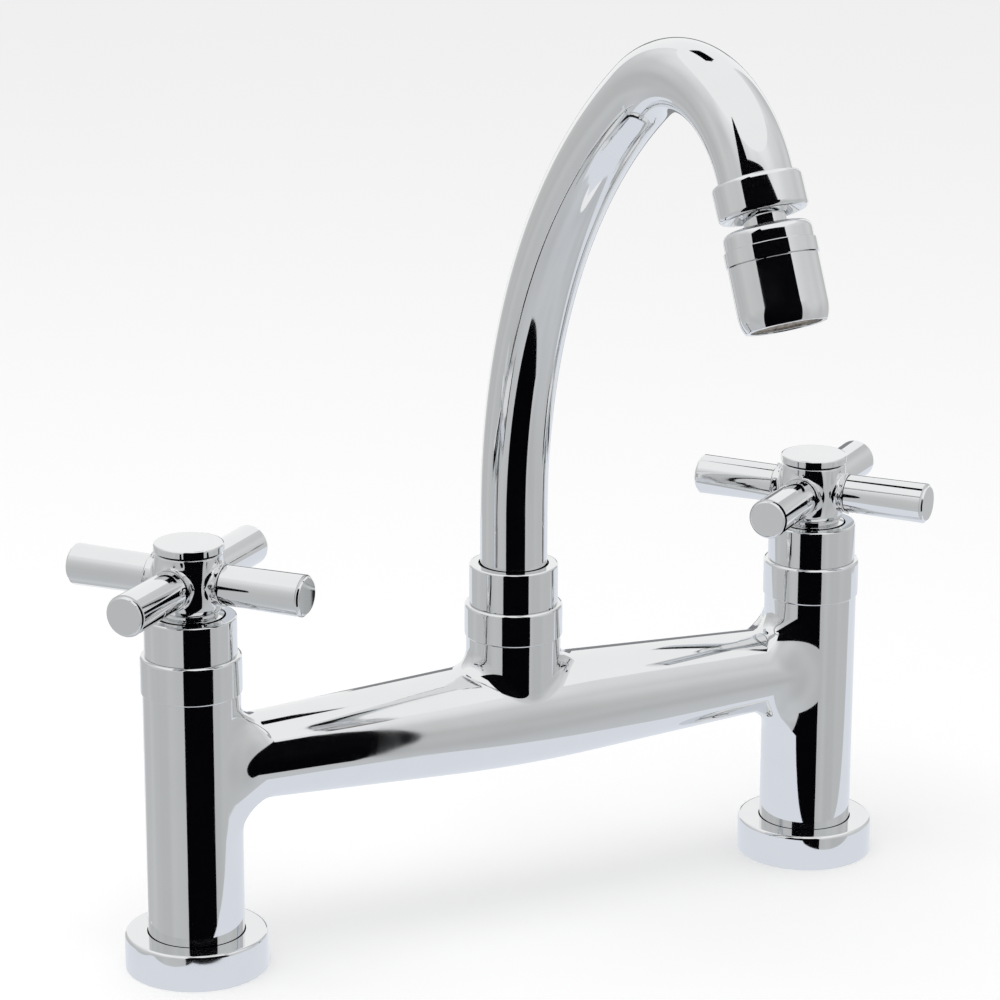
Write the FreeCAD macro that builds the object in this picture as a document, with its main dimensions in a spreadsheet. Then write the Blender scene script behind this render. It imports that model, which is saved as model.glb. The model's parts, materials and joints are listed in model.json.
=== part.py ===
"""Bridge mixer tap: two valve posts joined by a cast bridge, with a swivelling gooseneck spout.

Frame: X runs along the bridge (left post at -X), -Y is the front, +Z is up.  The origin is on the
deck surface, midway between the two posts.  Everything is in millimetres and degrees.
"""

import FreeCAD, Part
import math
import os
import re
import Sketcher
from FreeCAD import Placement, Rotation, Vector

doc = FreeCAD.newDocument("bridge_mixer_tap")

# ---------------------------------------------------------------------------------------------
# Driving sizes
# ---------------------------------------------------------------------------------------------

SIZES = {
    # whole tap
    "post_spacing": (203.2, "centre to centre of the two inlets"),
    "running_clearance": (0.06, "radial gap of a turning fit"),
    "thread_clearance": (0.05, "radial gap drawn in a screwed joint"),
    "seat_gap": (0.05, "gap drawn between parts that press on each other"),
    "edge_round": (0.6, "rounding of a turned edge"),
    "ring_round": (0.9, "rounding of the wide rings' top edges"),
    "end_play": (0.3, "gap between a turning part and the fixed face beside it"),
    # bridge casting
    "post_radius": (13.85, "outside of a valve post"),
    "post_rise": (22.15, "post's top face over the bar's axis"),
    "post_foot": (4.8, "height of the post's bottom face, inside the flange"),
    "bar_height": (60.75, "height of the bridge bar's axis"),
    "bar_end_radius": (11.6, "bar radius at a post's axis"),
    "bar_mid_radius": (15.9, "bar radius at the middle"),
    "bar_belly": (22.0, "half length of the rounded middle of the bar"),
    "bar_fillet": (5.5, "fillet between bar and post"),
    "boss_wall": (1.9, "wall of the spout boss round the collar's thread"),
    "boss_rise": (24.15, "boss's top face over the bar's axis"),
    "boss_fillet": (6.0, "fillet between bar and boss"),
    "waterway_radius": (6.5, "drilled water channels"),
    "inlet_thread_radius": (9.32, "minor radius of the G1/2 socket in the post's foot"),
    "inlet_thread_length": (14.2, "length of the inlet's thread"),
    "seat_drop": (10.75, "valve seat below the bar's axis"),
    # flange and its seal
    "flange_rim": (6.65, "flange's rim outside the post"),
    "flange_height": (10.8, "height of the base flange"),
    "flange_round": (1.0, "rounding of the flange's top edge"),
    "flange_gap": (0.3, "dark gap between post and flange"),
    "flange_bore": (10.9, "hole of the flange's floor"),
    "seal_inner": (13.0, "inside of the deck seal"),
    "seal_outer": (17.5, "outside of the deck seal"),
    "seal_height": (2.0, "thickness of the deck seal"),
    # headwork
    "headwork_radius": (10.2, "thread of the headwork in the post"),
    "cage_radius": (9.2, "lower cage of the headwork"),
    "cage_rise": (2.0, "cage's bottom edge over the valve seat"),
    "headwork_thread": (9.9, "length of the headwork's thread in the post"),
    "disc_radius": (7.6, "ceramic discs"),
    "disc_height": (3.0, "thickness of a ceramic disc"),
    "disc_slot": (1.3, "depth of the driving slot in the turning disc"),
    "dog_radius": (4.2, "lower end of the spindle"),
    "dog_height": (5.3, "height of the spindle's lower end"),
    "tongue_width": (2.4, "tongue that drives the turning disc"),
    "tongue_length": (11.0, "length of that tongue"),
    "disc_port": (2.1, "radius of a port in a ceramic disc"),
    "disc_port_offset": (4.3, "distance of a port from the axis"),
    "seat_seal_inner": (6.0, "inside of the rubber valve seat"),
    "seat_seal_height": (3.0, "height of the rubber valve seat"),
    "hex_flats": (20.0, "across flats of the headwork's hexagon"),
    "hex_height": (4.6, "height of the hexagon"),
    "neck_radius": (8.0, "neck of the headwork above its hexagon"),
    "clip_room": (2.4, "room for the clip between the neck's top and the hub"),
    "window_width": (7.0, "width of a water window in the cage"),
    "window_height": (4.4, "height of a water window in the cage"),
    "spindle_radius": (4.65, "spindle shaft"),
    "spline_radius": (4.0, "driving end of the spindle"),
    "hub_web": (2.4, "hub's web between the spindle and the screw's head"),
    "collar_radius": (7.0, "thrust collar of the spindle"),
    "collar_height": (2.0, "thickness of the thrust collar"),
    "ring_groove": (1.8, "width of an O-ring's groove"),
    "headwork_washer": (1.0, "thickness of the washer under the hexagon"),
    "ring_section": (0.8, "radius of an O-ring's section"),
    "clip_radius": (6.4, "outside of the spindle's retaining clip"),
    "clip_height": (0.9, "thickness of the retaining clip"),
    # shroud on the headwork
    "ring_stand": (0.5, "how far a wide ring stands out from what it sits on"),
    "shroud_ring_height": (11.2, "shroud ring's top face over the post's"),
    "skirt_inset": (0.6, "hidden skirt inside the upper sleeve's outline"),
    "sleeve_inset": (0.75, "upper sleeve inside the post's outline"),
    "sleeve_height": (11.4, "upper sleeve's top face over the shroud ring's"),
    "mouth_gap": (0.5, "dark gap round the hub's skirt in the sleeve's mouth"),
    "sleeve_wall": (1.55, "wall of the upper sleeve"),
    "sleeve_lip": (2.8, "height of the sleeve's mouth"),
    "web_height": (3.0, "height of the sleeve's threaded web"),
    # handle
    "hub_skirt_radius": (9.6, "skirt of the hub inside the sleeve's mouth"),
    "hub_skirt_depth": (2.1, "depth of the hub's skirt inside the sleeve"),
    "hub_waist": (7.7, "radius of the groove above the skirt"),
    "hub_radius": (8.9, "body of the hub"),
    "hub_flare": (9.8, "radius under the index cap"),
    "hub_rise": (18.9, "hub's top face over the sleeve's"),
    "hub_recess": (6.6, "recess for the screw head and the cap's plug"),
    "hub_recess_depth": (6.0, "depth of the hub's recess"),
    "arm_rise": (10.3, "arms' axes over the sleeve's top face"),
    "arm_boss_radius": (6.5, "boss that an arm screws into"),
    "arm_boss_reach": (11.6, "distance of the boss's face from the hub's axis"),
    "arm_seam": (0.15, "joint line between boss and arm"),
    "arm_root_radius": (5.7, "arm at its root"),
    "arm_tip_radius": (5.95, "arm at its tip"),
    "arm_reach": (36.7, "distance of an arm's end face from the hub's axis"),
    "arm_tip_round": (0.9, "rounding of an arm's end face"),
    "arm_stud_radius": (2.9, "stud that screws an arm into its boss"),
    "arm_stud_foot": (7.8, "distance of the stud's end from the hub's axis"),
    "screw_radius": (2.0, "handle screw shank"),
    "screw_head_radius": (3.6, "handle screw head"),
    "screw_head_height": (2.4, "height of the handle screw's head"),
    "screw_length": (11.0, "length of the handle screw's shank"),
    "socket_flats": (2.5, "hexagon socket of the handle screw"),
    "cap_radius": (9.9, "index cap"),
    "cap_height": (2.1, "thickness of the index cap's disc"),
    "cap_gap": (0.3, "dark gap under the index cap"),
    "cap_plug_height": (2.8, "plug of the index cap"),
    "left_handle_angle": (39.0, "direction of an arm of the left handle"),
    "right_handle_angle": (37.0, "direction of an arm of the right handle"),
    # spout joint on the boss
    "trim_height": (9.8, "trim ring's top face over the boss's"),
    "collar_rim": (1.05, "spout collar's sleeve outside its thread"),
    "collar_sleeve_height": (11.9, "spout collar's top face over the trim ring's"),
    "collar_wall": (2.0, "wall of the spout collar at its thread"),
    "collar_gap": (0.52, "dark gap round the tube in the collar's mouth"),
    "spigot_stand": (0.12, "turned spigot outside the tube"),
    "spigot_depth": (17.3, "spigot's bottom face below the boss's top"),
    "shoulder_depth": (0.9, "tube's foot below the boss's top"),
    "spigot_plug": (13.0, "length of the spigot's plug inside the tube"),
    "split_ring_thickness": (1.5, "thickness of the split ring"),
    "split_ring_stand": (1.6, "split ring outside the spigot"),
    "split_ring_sink": (1.1, "depth of the split ring in the spigot"),
    "slip_washer_thickness": (0.8, "thickness of the slip washer"),
    # spout tube
    "spout_angle": (3.0, "swivel of the spout from straight ahead, towards +X"),
    "tube_radius": (9.78, "outside of the spout tube"),
    "tube_wall": (1.0, "wall of the spout tube"),
    "tube_straight": (15.9, "straight tube over the collar, before the bend"),
    "rise_radius": (166.8, "bend radius of the tube's long rise"),
    "rise_sweep": (53.1, "turn of the rise"),
    "crown_radius": (36.2, "bend radius of the tube's crown"),
    "crown_sweep": (101.0, "turn of the crown"),
    "tube_tail": (1.0, "straight end of the tube"),
    # swivel nut at the spout's end, heights from the tube's end along its axis
    "fitting_plug": (3.2, "length of the end fitting inside the tube"),
    "socket_wall": (2.0, "wall of the end fitting's thread round the ball's socket"),
    "fitting_length": (2.4, "length of the end fitting past the tube"),
    "fitting_wall": (1.43, "wall of the end fitting's plug"),
    "nut_wall": (1.7, "wall of the nut round its thread"),
    "nut_reach": (5.6, "nut's lower edge below the ball's centre"),
    "nut_round": (1.3, "rounding of the nut's edges"),
    "nut_lip_depth": (3.0, "depth of the nut's lip below the ball's centre"),
    "nut_lip_height": (0.4, "upright band of the nut's lip"),
    "nut_rim": (1.8, "width of the nut's lower rim"),
    # ball joint
    "ball_radius": (7.9, "ball of the outlet joint"),
    "ball_drop": (0.4, "ball's flat top below the tube's end"),
    "ball_flat_drop": (4.4, "depth of the flat cut from the ball's top"),
    "ball_clearance": (0.1, "gap between the ball and its seat"),
    "ball_seat_gap": (0.1, "gap round the ball seat in the nut's thread"),
    "stem_radius": (5.6, "neck between ball and outlet"),
    "stem_bore": (3.4, "water bore of the ball and its neck"),
    "outlet_tilt": (2.5, "lean of the outlet from the nut's axis as it was left"),
    "tilt_limit": (15.0, "largest lean of the outlet from the nut's axis, any way"),
    # outlet
    "neck_gap": (3.0, "neck that shows between the nut and the outlet cap"),
    "cap_shoulder": (2.2, "rounding of the outlet cap's top edge"),
    "cap_upper_radius": (11.55, "upper part of the outlet cap"),
    "cap_upper_height": (4.7, "height of the cap above its step"),
    "cap_step": (0.25, "height of the sloping step"),
    "cap_band_radius": (12.05, "wider band of the outlet cap"),
    "cap_total_height": (8.6, "height of the outlet cap without its skirt"),
    "cap_roof": (2.6, "thickness of the outlet cap's top"),
    "cap_cavity_radius": (9.0, "inside of the outlet cap"),
    "cap_skirt_radius": (10.35, "threaded skirt of the outlet cap"),
    "cap_skirt_length": (4.1, "length of the threaded skirt"),
    "outlet_seam": (0.15, "joint line between cap and outlet sleeve"),
    "outlet_radius": (11.75, "outside of the outlet sleeve"),
    "outlet_length": (17.3, "length of the outlet sleeve"),
    "outlet_rim_radius": (10.6, "bottom rim of the outlet sleeve"),
    "outlet_taper": (4.8, "length of the rounded-in end of the outlet sleeve"),
    "outlet_bore": (9.85, "inside of the outlet sleeve"),
    "outlet_lip_radius": (9.3, "lip that holds the aerator"),
    "outlet_lip_height": (0.9, "height of that lip"),
    "stem_flange_radius": (8.6, "flange that clamps the stem in the cap"),
    "stem_flange_height": (3.0, "thickness of the stem's flange"),
    "washer_height": (1.6, "thickness of the outlet's rubber washers"),
    "aerator_radius": (9.7, "aerator cartridge"),
    "aerator_wall": (1.2, "wall of the aerator cartridge"),
    "screen_height": (1.2, "thickness of the aerator's outlet screen"),
    "screen_hole": (0.55, "radius of a hole in the screen"),
}

# Places and shared sizes that follow from the driving ones
PLACES = {
    "flange_radius": "post_radius + flange_rim",
    "shroud_ring_radius": "post_radius + ring_stand",
    "sleeve_radius": "post_radius - sleeve_inset",
    "sleeve_bore": "sleeve_radius - sleeve_wall",
    "sleeve_mouth": "hub_skirt_radius + mouth_gap",
    "shroud_skirt_radius": "sleeve_radius - skirt_inset",
    "spigot_radius": "tube_radius + spigot_stand",
    "collar_thread_radius": "spigot_radius + collar_wall",
    "collar_sleeve_radius": "collar_thread_radius + collar_rim",
    "collar_mouth": "tube_radius + collar_gap",
    "boss_radius": "collar_thread_radius + boss_wall",
    "trim_radius": "boss_radius + ring_stand",
    "split_ring_radius": "spigot_radius + split_ring_stand",
    "split_ring_inner": "spigot_radius - split_ring_sink",
    "fitting_bore": "tube_radius - tube_wall - seat_gap - fitting_wall",
    "fitting_thread_radius": "socket_radius + socket_wall",
    "nut_radius": "fitting_thread_radius + nut_wall",
    "nut_cup_radius": "nut_radius - nut_rim",
    "ball_seat_radius": "fitting_thread_radius - ball_seat_gap",
    "ball_flat": "ball_radius - ball_flat_drop",
    "ball_depth": "ball_flat + ball_drop",
    "nut_height": "ball_depth + nut_reach",
    "post_top": "bar_height + post_rise",
    "boss_top": "bar_height + boss_rise",
    "inlet_thread_top": "post_foot + inlet_thread_length",
    "seat_height": "bar_height - seat_drop",
    "cage_height": "seat_height + cage_rise",
    "thread_height": "post_top - headwork_thread",
    "shroud_ring_top": "post_top + shroud_ring_height",
    "sleeve_top": "shroud_ring_top + sleeve_height",
    "hub_foot": "sleeve_top - hub_skirt_depth",
    "hub_top": "sleeve_top + hub_rise",
    "hub_recess_floor": "hub_top - hub_recess_depth",
    "arm_height": "sleeve_top + arm_rise",
    "neck_top": "hub_foot - clip_room",
    "spline_top": "hub_recess_floor - hub_web",
    "trim_top": "boss_top + trim_height",
    "collar_sleeve_top": "trim_top + collar_sleeve_height",
    "spigot_foot": "boss_top - spigot_depth",
    "spigot_shoulder": "boss_top - shoulder_depth",
    "spigot_plug_top": "spigot_shoulder + spigot_plug",
    "tube_straight_top": "collar_sleeve_top + tube_straight",
    "boss_step": "spigot_foot + 3 * ring_groove",
    "spigot_bore_foot": "spigot_foot - ring_section",
    "fixed_disc_foot": "seat_height + seat_seal_height + seat_gap",
    "turning_disc_foot": "fixed_disc_foot + disc_height + seat_gap",
    "dog_foot": "turning_disc_foot + disc_height + seat_gap",
    "thrust_collar_foot": "dog_foot + dog_height",
    "cavity_roof": "thrust_collar_foot + collar_height + running_clearance",
    "hex_foot": "post_top + headwork_washer + seat_gap",
    "hex_top": "hex_foot + hex_height",
    "ring_room": "2 * ring_section + 2 * seat_gap",
    "spindle_groove": "spindle_radius + running_clearance - ring_room",
    "split_ring_foot": "boss_step + end_play",
    "split_ring_top": "split_ring_foot + split_ring_thickness",
    "slip_washer_top": "split_ring_top + end_play + slip_washer_thickness",
    "spout_collar_foot": "slip_washer_top + seat_gap",
    "spigot_groove": "spigot_radius + running_clearance - ring_room",
    "socket_radius": "ball_radius + ball_clearance",
    "outlet_cap_top": "nut_height - ball_depth + neck_gap",
    "cap_roof_foot": "outlet_cap_top + cap_roof",
    "outlet_cap_foot": "outlet_cap_top + cap_total_height",
    "outlet_top": "outlet_cap_foot + outlet_seam",
    "outlet_foot": "outlet_top + outlet_length",
    "aerator_foot": "outlet_foot - outlet_lip_height - seat_gap",
    "flange_foot": "cap_roof_foot + seat_gap + stem_flange_height",
    "aerator_washer_top": "outlet_cap_foot + cap_skirt_length + seat_gap",
    "aerator_top": "aerator_washer_top + washer_height + seat_gap",
}

sheet = doc.addObject("Spreadsheet::Sheet", "Sizes")
for row, (alias, (number, meaning)) in enumerate(SIZES.items(), start=1):
    sheet.set(f"A{row}", alias)
    sheet.set(f"B{row}", str(number))
    sheet.setAlias(f"B{row}", alias)
    sheet.set(f"C{row}", meaning)
doc.recompute()

ALIAS = re.compile(r"\b(" + "|".join(SIZES) + r")\b")
PLACE = re.compile(r"\b(" + "|".join(PLACES) + r")\b")


def bound(text):
    """The expression with each place worked out and each size turned into its cell."""
    text = str(text)
    while PLACE.search(text):
        text = PLACE.sub(lambda found: f"({PLACES[found[0]]})", text)
    return ALIAS.sub(r"Sizes.\1", text)


def size(text):
    """The number that an expression over the sizes gives."""
    return float(sheet.evalExpression(bound(text)))


# ---------------------------------------------------------------------------------------------
# Ways of making a piece
# ---------------------------------------------------------------------------------------------


def new_body(label):
    """An empty body whose label is the node's name."""
    body = doc.addObject("PartDesign::Body", label)
    body.Label = label
    return body


def new_sketch(body, name, plane, offset=None):
    """A sketch on one of the body's own origin planes, raised by an offset along its normal."""
    sketch = body.newObject("Sketcher::SketchObject", f"{body.Name}_{name}")
    role = next(o for o in body.Origin.OriginFeatures if o.Role == plane)
    sketch.AttachmentSupport = [(role, "")]
    sketch.MapMode = "FlatFace"
    if offset is not None:
        sketch.setExpression("AttachmentOffset.Base.z", bound(offset))
    return sketch


def bind(sketch, kind, where, text):
    """A sketch dimension that follows an expression over the sizes."""
    index = sketch.addConstraint(Sketcher.Constraint(kind, *where, size(text)))
    sketch.setExpression(f"Constraints[{index}]", bound(text))


def draw_outline(sketch, outline):
    """A closed outline of (across, up) points.

    A point may add (radius, side): its edge to the next point is then an arc of that radius
    that bulges to the left (side 1) or to the right (side -1) of the way along.
    """
    ends = [Vector(size(point[0]), size(point[1]), 0) for point in outline]
    for here, point in enumerate(outline):
        start, end = ends[here], ends[(here + 1) % len(ends)]
        if len(point) == 2:
            sketch.addGeometry(Part.LineSegment(start, end))
            continue
        radius, side = size(point[2]), point[3]
        chord = end - start
        left = Vector(-chord.y, chord.x, 0).normalize()
        rise = radius - math.sqrt(radius**2 - (chord.Length / 2) ** 2)
        middle = (start + end) / 2 + left * (rise * side)
        sketch.addGeometry(Part.Arc(start, middle, end))
    for here, point in enumerate(outline):
        after = (here + 1) % len(outline)
        # an arc's first end is its start only when it runs anticlockwise
        first, last = (1, 2) if len(point) == 2 or point[3] < 0 else (2, 1)
        next_point = outline[after]
        joins = 1 if len(next_point) == 2 or next_point[3] < 0 else 2
        sketch.addConstraint(Sketcher.Constraint("Coincident", here, last, after, joins))
        bind(sketch, "DistanceX", (-1, 1, here, first), point[0])
        bind(sketch, "DistanceY", (-1, 1, here, first), point[1])
        if len(point) > 2:
            bind(sketch, "Radius", (here,), point[2])


def turned(label, outline):
    """A piece turned in a lathe, from its half section of (radius, height) points."""
    body = new_body(label)
    sketch = new_sketch(body, "section", "XZ_Plane")
    draw_outline(sketch, outline)
    turn = body.newObject("PartDesign::Revolution", f"{body.Name}_turn")
    turn.Profile = sketch
    turn.ReferenceAxis = (sketch, ["V_Axis"])
    turn.Angle = 360
    body.Tip = turn
    return body


def drill(body, name, radius, low, high, x="0", y="0"):
    """An upright hole from one height to another, cut downwards from its upper end."""
    sketch = new_sketch(body, name, "XY_Plane", high)
    sketch.addGeometry(Part.Circle(Vector(size(x), size(y), 0), Vector(0, 0, 1), size(radius)))
    bind(sketch, "Radius", (0,), radius)
    bind(sketch, "DistanceX", (-1, 1, 0, 3), x)
    bind(sketch, "DistanceY", (-1, 1, 0, 3), y)
    pocket = body.newObject("PartDesign::Pocket", f"{body.Name}_{name}_hole")
    pocket.Profile = sketch
    pocket.Type = 0
    pocket.setExpression("Length", bound(f"({high}) - ({low})"))
    body.Tip = pocket
    return pocket


def post(body, name, radius, low, high, x="0"):
    """An upright round bar from one height to another."""
    sketch = new_sketch(body, name, "XY_Plane", low)
    sketch.addGeometry(Part.Circle(Vector(size(x), 0, 0), Vector(0, 0, 1), size(radius)))
    bind(sketch, "Radius", (0,), radius)
    bind(sketch, "DistanceX", (-1, 1, 0, 3), x)
    bind(sketch, "DistanceY", (-1, 1, 0, 3), "0")
    pad = body.newObject("PartDesign::Pad", f"{body.Name}_{name}_pad")
    pad.Profile = sketch
    pad.setExpression("Length", bound(f"({high}) - ({low})"))
    body.Tip = pad
    return pad


def draw_polygon(sketch, count, inradius):
    """A regular polygon about the sketch's origin, given the radius of its inner circle."""
    corner = f"({inradius}) / cos(180 deg / {count})"
    turns = [360 * k / count for k in range(count)]
    draw_outline(sketch, [(f"{corner} * cos({t} deg)", f"{corner} * sin({t} deg)") for t in turns])


def cut_through(body, name, sketch, length):
    """A pocket of a sketch's outline, cut equally both ways from its plane."""
    cut = body.newObject("PartDesign::Pocket", f"{body.Name}_{name}")
    cut.Profile = sketch
    cut.setExpression("Length", bound(length))
    cut.Midplane = True
    body.Tip = cut
    return cut


def repeat(body, feature, count):
    """Copies of a feature, evenly round the body's own axis."""
    pattern = body.newObject("PartDesign::PolarPattern", f"{feature.Name}_round")
    pattern.Originals = [feature]
    axis = next(o for o in body.Origin.OriginFeatures if o.Role == "Z_Axis")
    pattern.Axis = (axis, [""])
    pattern.Angle = 360
    pattern.Occurrences = count
    body.Tip = pattern
    return pattern


def soften(body, name, size_text, wanted):
    """A fillet on the edges of the body's last feature that wanted() picks."""
    doc.recompute()
    base = body.Tip
    edges = [f"Edge{i}" for i, edge in enumerate(base.Shape.Edges, start=1) if wanted(edge)]
    if not edges:
        raise ValueError(f"{body.Label} has no edge for its {name}")
    fillet = body.newObject("PartDesign::Fillet", f"{body.Name}_{name}")
    fillet.Base = (base, edges)
    fillet.setExpression("Radius", bound(size_text))
    body.Tip = fillet
    return fillet


def stand(body, x="0", height="0", angle="0"):
    """Places a body over a point of the deck, turned about its own upright axis."""
    body.setExpression("Placement.Base.x", bound(x))
    body.setExpression("Placement.Base.z", bound(height))
    body.Placement.Rotation = Rotation(Vector(0, 0, 1), size(angle))
    return body


def o_ring(label, inner, heights):
    """A node of equal O-rings, given the radius they sit on and their heights."""
    rings = []
    for number, height in enumerate(heights, start=1):
        ring = doc.addObject("Part::Torus", f"{label}_{number}")
        ring.setExpression("Radius1", bound(f"{inner} + ring_section"))
        ring.setExpression("Radius2", bound("ring_section"))
        ring.setExpression("Placement.Base.z", bound(height))
        rings.append(ring)
    group = doc.addObject("Part::Compound", label)
    group.Links = rings
    group.Label = label
    return group


nodes = []


def keep(piece):
    """Adds a finished piece to the nodes that are written out."""
    nodes.append(piece)
    return piece


# ---------------------------------------------------------------------------------------------
# Bridge casting: posts, bar and spout boss in one piece, drilled for the water
# ---------------------------------------------------------------------------------------------

SIDES = {"left": "-post_spacing / 2", "right": "post_spacing / 2"}


def make_bridge():
    """The one-piece brass casting, with its sockets, seats and channels."""
    body = new_body("bridge_body")
    bar = new_sketch(body, "bar_section", "XZ_Plane")
    slope = "(bar_mid_radius - bar_end_radius) / (post_spacing / 2 - bar_belly / 2)"
    belly_edge = f"bar_mid_radius - {slope} * bar_belly / 2"
    belly_arc = f"bar_belly * sqrt(1 + ({slope}) ^ 2) / ({slope})"
    draw_outline(
        bar,
        [
            ("-post_spacing / 2", "bar_height"),
            ("post_spacing / 2", "bar_height"),
            ("post_spacing / 2", "bar_height + bar_end_radius"),
            ("bar_belly", f"bar_height + {belly_edge}", belly_arc, -1),
            ("-bar_belly", f"bar_height + {belly_edge}"),
            ("-post_spacing / 2", "bar_height + bar_end_radius"),
        ],
    )
    half_bar = size("post_spacing") / 2
    axis = bar.addGeometry(
        Part.LineSegment(
            Vector(-half_bar, size("bar_height"), 0), Vector(half_bar, size("bar_height"), 0)
        ),
        True,
    )
    bar.addConstraint(Sketcher.Constraint("Coincident", axis, 1, 0, 1))
    bar.addConstraint(Sketcher.Constraint("Coincident", axis, 2, 0, 2))
    turn = body.newObject("PartDesign::Revolution", "bridge_bar")
    turn.Profile = bar
    turn.ReferenceAxis = (bar, ["Axis0"])
    turn.Angle = 360
    body.Tip = turn
    for side, x in SIDES.items():
        post(body, f"{side}_post", "post_radius", "post_foot", "post_top", x)
    post(body, "boss", "boss_radius", "bar_height", "boss_top")

    def joins(edge, near_boss):
        middle = edge.BoundBox.Center
        curved = not isinstance(edge.Curve, (Part.Circle, Part.Line))
        return curved and (abs(middle.x) < size("post_spacing") / 4) == near_boss

    soften(body, "boss_fillet", "boss_fillet", lambda edge: joins(edge, True))
    soften(body, "bar_fillet", "bar_fillet", lambda edge: joins(edge, False))
    for side, x in SIDES.items():
        bore = "headwork_radius + thread_clearance"
        drill(body, f"{side}_valve", bore, "seat_height", "post_top", x)
        drill(body, f"{side}_rise", "waterway_radius", "inlet_thread_top", "seat_height", x)
        drill(body, f"{side}_inlet", "inlet_thread_radius", "post_foot", "inlet_thread_top", x)
    collar_bore = "collar_thread_radius + thread_clearance"
    drill(body, "collar_bore", collar_bore, "boss_step", "boss_top")
    drill(body, "spigot_bore", "spigot_radius + running_clearance", "spigot_bore_foot", "boss_step")
    drill(body, "spout_feed", "waterway_radius", "bar_height", "spigot_bore_foot")
    channel = new_sketch(body, "channel", "YZ_Plane")
    channel.addGeometry(
        Part.Circle(Vector(0, size("bar_height"), 0), Vector(0, 0, 1), size("waterway_radius"))
    )
    bind(channel, "Radius", (0,), "waterway_radius")
    bind(channel, "DistanceX", (-1, 1, 0, 3), "0")
    bind(channel, "DistanceY", (-1, 1, 0, 3), "bar_height")
    cut_through(body, "channel_cut", channel, "post_spacing")
    return body


keep(make_bridge())


# ---------------------------------------------------------------------------------------------
# What stands round each post's foot
# ---------------------------------------------------------------------------------------------


def make_flange(label):
    """Turned brass flange: the post stands inside it on its floor, the seal lies beneath."""
    return turned(
        label,
        [
            ("flange_bore", "0"),
            ("seal_inner", "0"),
            ("seal_inner", "seal_height + seat_gap"),
            ("seal_outer", "seal_height + seat_gap"),
            ("seal_outer", "0"),
            ("flange_radius - edge_round", "0", "edge_round", -1),
            ("flange_radius", "edge_round"),
            ("flange_radius", "flange_height - flange_round", "flange_round", -1),
            ("flange_radius - flange_round", "flange_height"),
            ("post_radius + flange_gap", "flange_height"),
            ("post_radius + flange_gap", "post_foot - seat_gap"),
            ("flange_bore", "post_foot - seat_gap"),
        ],
    )


def make_deck_seal(label):
    """Flat rubber ring in the flange's groove, flush with its underside."""
    return turned(
        label,
        [
            ("seal_inner + seat_gap", "0"),
            ("seal_outer - seat_gap", "0"),
            ("seal_outer - seat_gap", "seal_height"),
            ("seal_inner + seat_gap", "seal_height"),
        ],
    )


# ---------------------------------------------------------------------------------------------
# Ceramic headwork, screwed into the top of each post.  Its heights are over the deck.
# ---------------------------------------------------------------------------------------------

SPINDLE_RINGS = ("cavity_roof + 3 * ring_groove", "cavity_roof + 5 * ring_groove")


def make_headwork_body(label):
    """Brass headwork: cage with water windows, thread, hexagon and neck."""
    body = turned(
        label,
        [
            ("disc_radius + running_clearance", "cage_height"),
            ("cage_radius", "cage_height"),
            ("cage_radius", "thread_height"),
            ("headwork_radius", "thread_height"),
            ("headwork_radius", "hex_foot"),
            ("hex_flats / 2 - edge_round", "hex_foot"),
            ("hex_flats / 2 - edge_round", "hex_top"),
            ("neck_radius", "hex_top"),
            ("neck_radius", "neck_top"),
            ("spindle_radius + running_clearance", "neck_top"),
            ("spindle_radius + running_clearance", "cavity_roof"),
            ("disc_radius + running_clearance", "cavity_roof"),
        ],
    )
    hexagon = new_sketch(body, "hexagon", "XY_Plane", "hex_foot")
    draw_polygon(hexagon, 6, "hex_flats / 2")
    hexagon.addGeometry(Part.Circle(Vector(0, 0, 0), Vector(0, 0, 1), size("neck_radius")))
    bind(hexagon, "Radius", (6,), "neck_radius")
    hexagon.addConstraint(Sketcher.Constraint("Coincident", 6, 3, -1, 1))
    pad = body.newObject("PartDesign::Pad", f"{label}_hexagon")
    pad.Profile = hexagon
    pad.setExpression("Length", bound("hex_height"))
    body.Tip = pad
    window = new_sketch(body, "window", "YZ_Plane")
    low = "(dog_foot + seat_gap)"
    draw_outline(
        window,
        [
            ("-window_width / 2", low),
            ("window_width / 2", low),
            ("window_width / 2", f"{low} + window_height"),
            ("-window_width / 2", f"{low} + window_height"),
        ],
    )
    cut_through(body, "windows", window, "2 * cage_radius + 2 * edge_round")
    return body


def make_headwork_washer(label):
    """Fibre washer squeezed between the post's top face and the hexagon."""
    rim = "hex_flats / 2 / cos(30 deg) + edge_round"
    return turned(
        label,
        [
            ("headwork_radius + seat_gap", "post_top"),
            (rim, "post_top"),
            (rim, "post_top + headwork_washer"),
            ("headwork_radius + seat_gap", "post_top + headwork_washer"),
        ],
    )


def make_valve_seat(label):
    """Rubber ring that seals the fixed disc against the post's valve seat."""
    return turned(
        label,
        [
            ("seat_seal_inner", "seat_height"),
            ("disc_radius - edge_round", "seat_height"),
            ("disc_radius - seat_gap", "seat_height + edge_round"),
            ("disc_radius - seat_gap", "seat_height + seat_seal_height"),
            ("seat_seal_inner", "seat_height + seat_seal_height"),
        ],
    )


def make_ceramic_disc(label, foot, port_angle):
    """Lapped ceramic disc with two ports, port_angle round from the bridge's direction."""
    body = turned(
        label,
        [
            ("0", foot),
            ("disc_radius", foot),
            ("disc_radius", f"{foot} + disc_height"),
            ("0", f"{foot} + disc_height"),
        ],
    )
    x = f"disc_port_offset * cos({port_angle} deg)"
    y = f"disc_port_offset * sin({port_angle} deg)"
    port = drill(body, "port", "disc_port", foot, f"{foot} + disc_height", x, y)
    repeat(body, port, 2)
    return body


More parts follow.
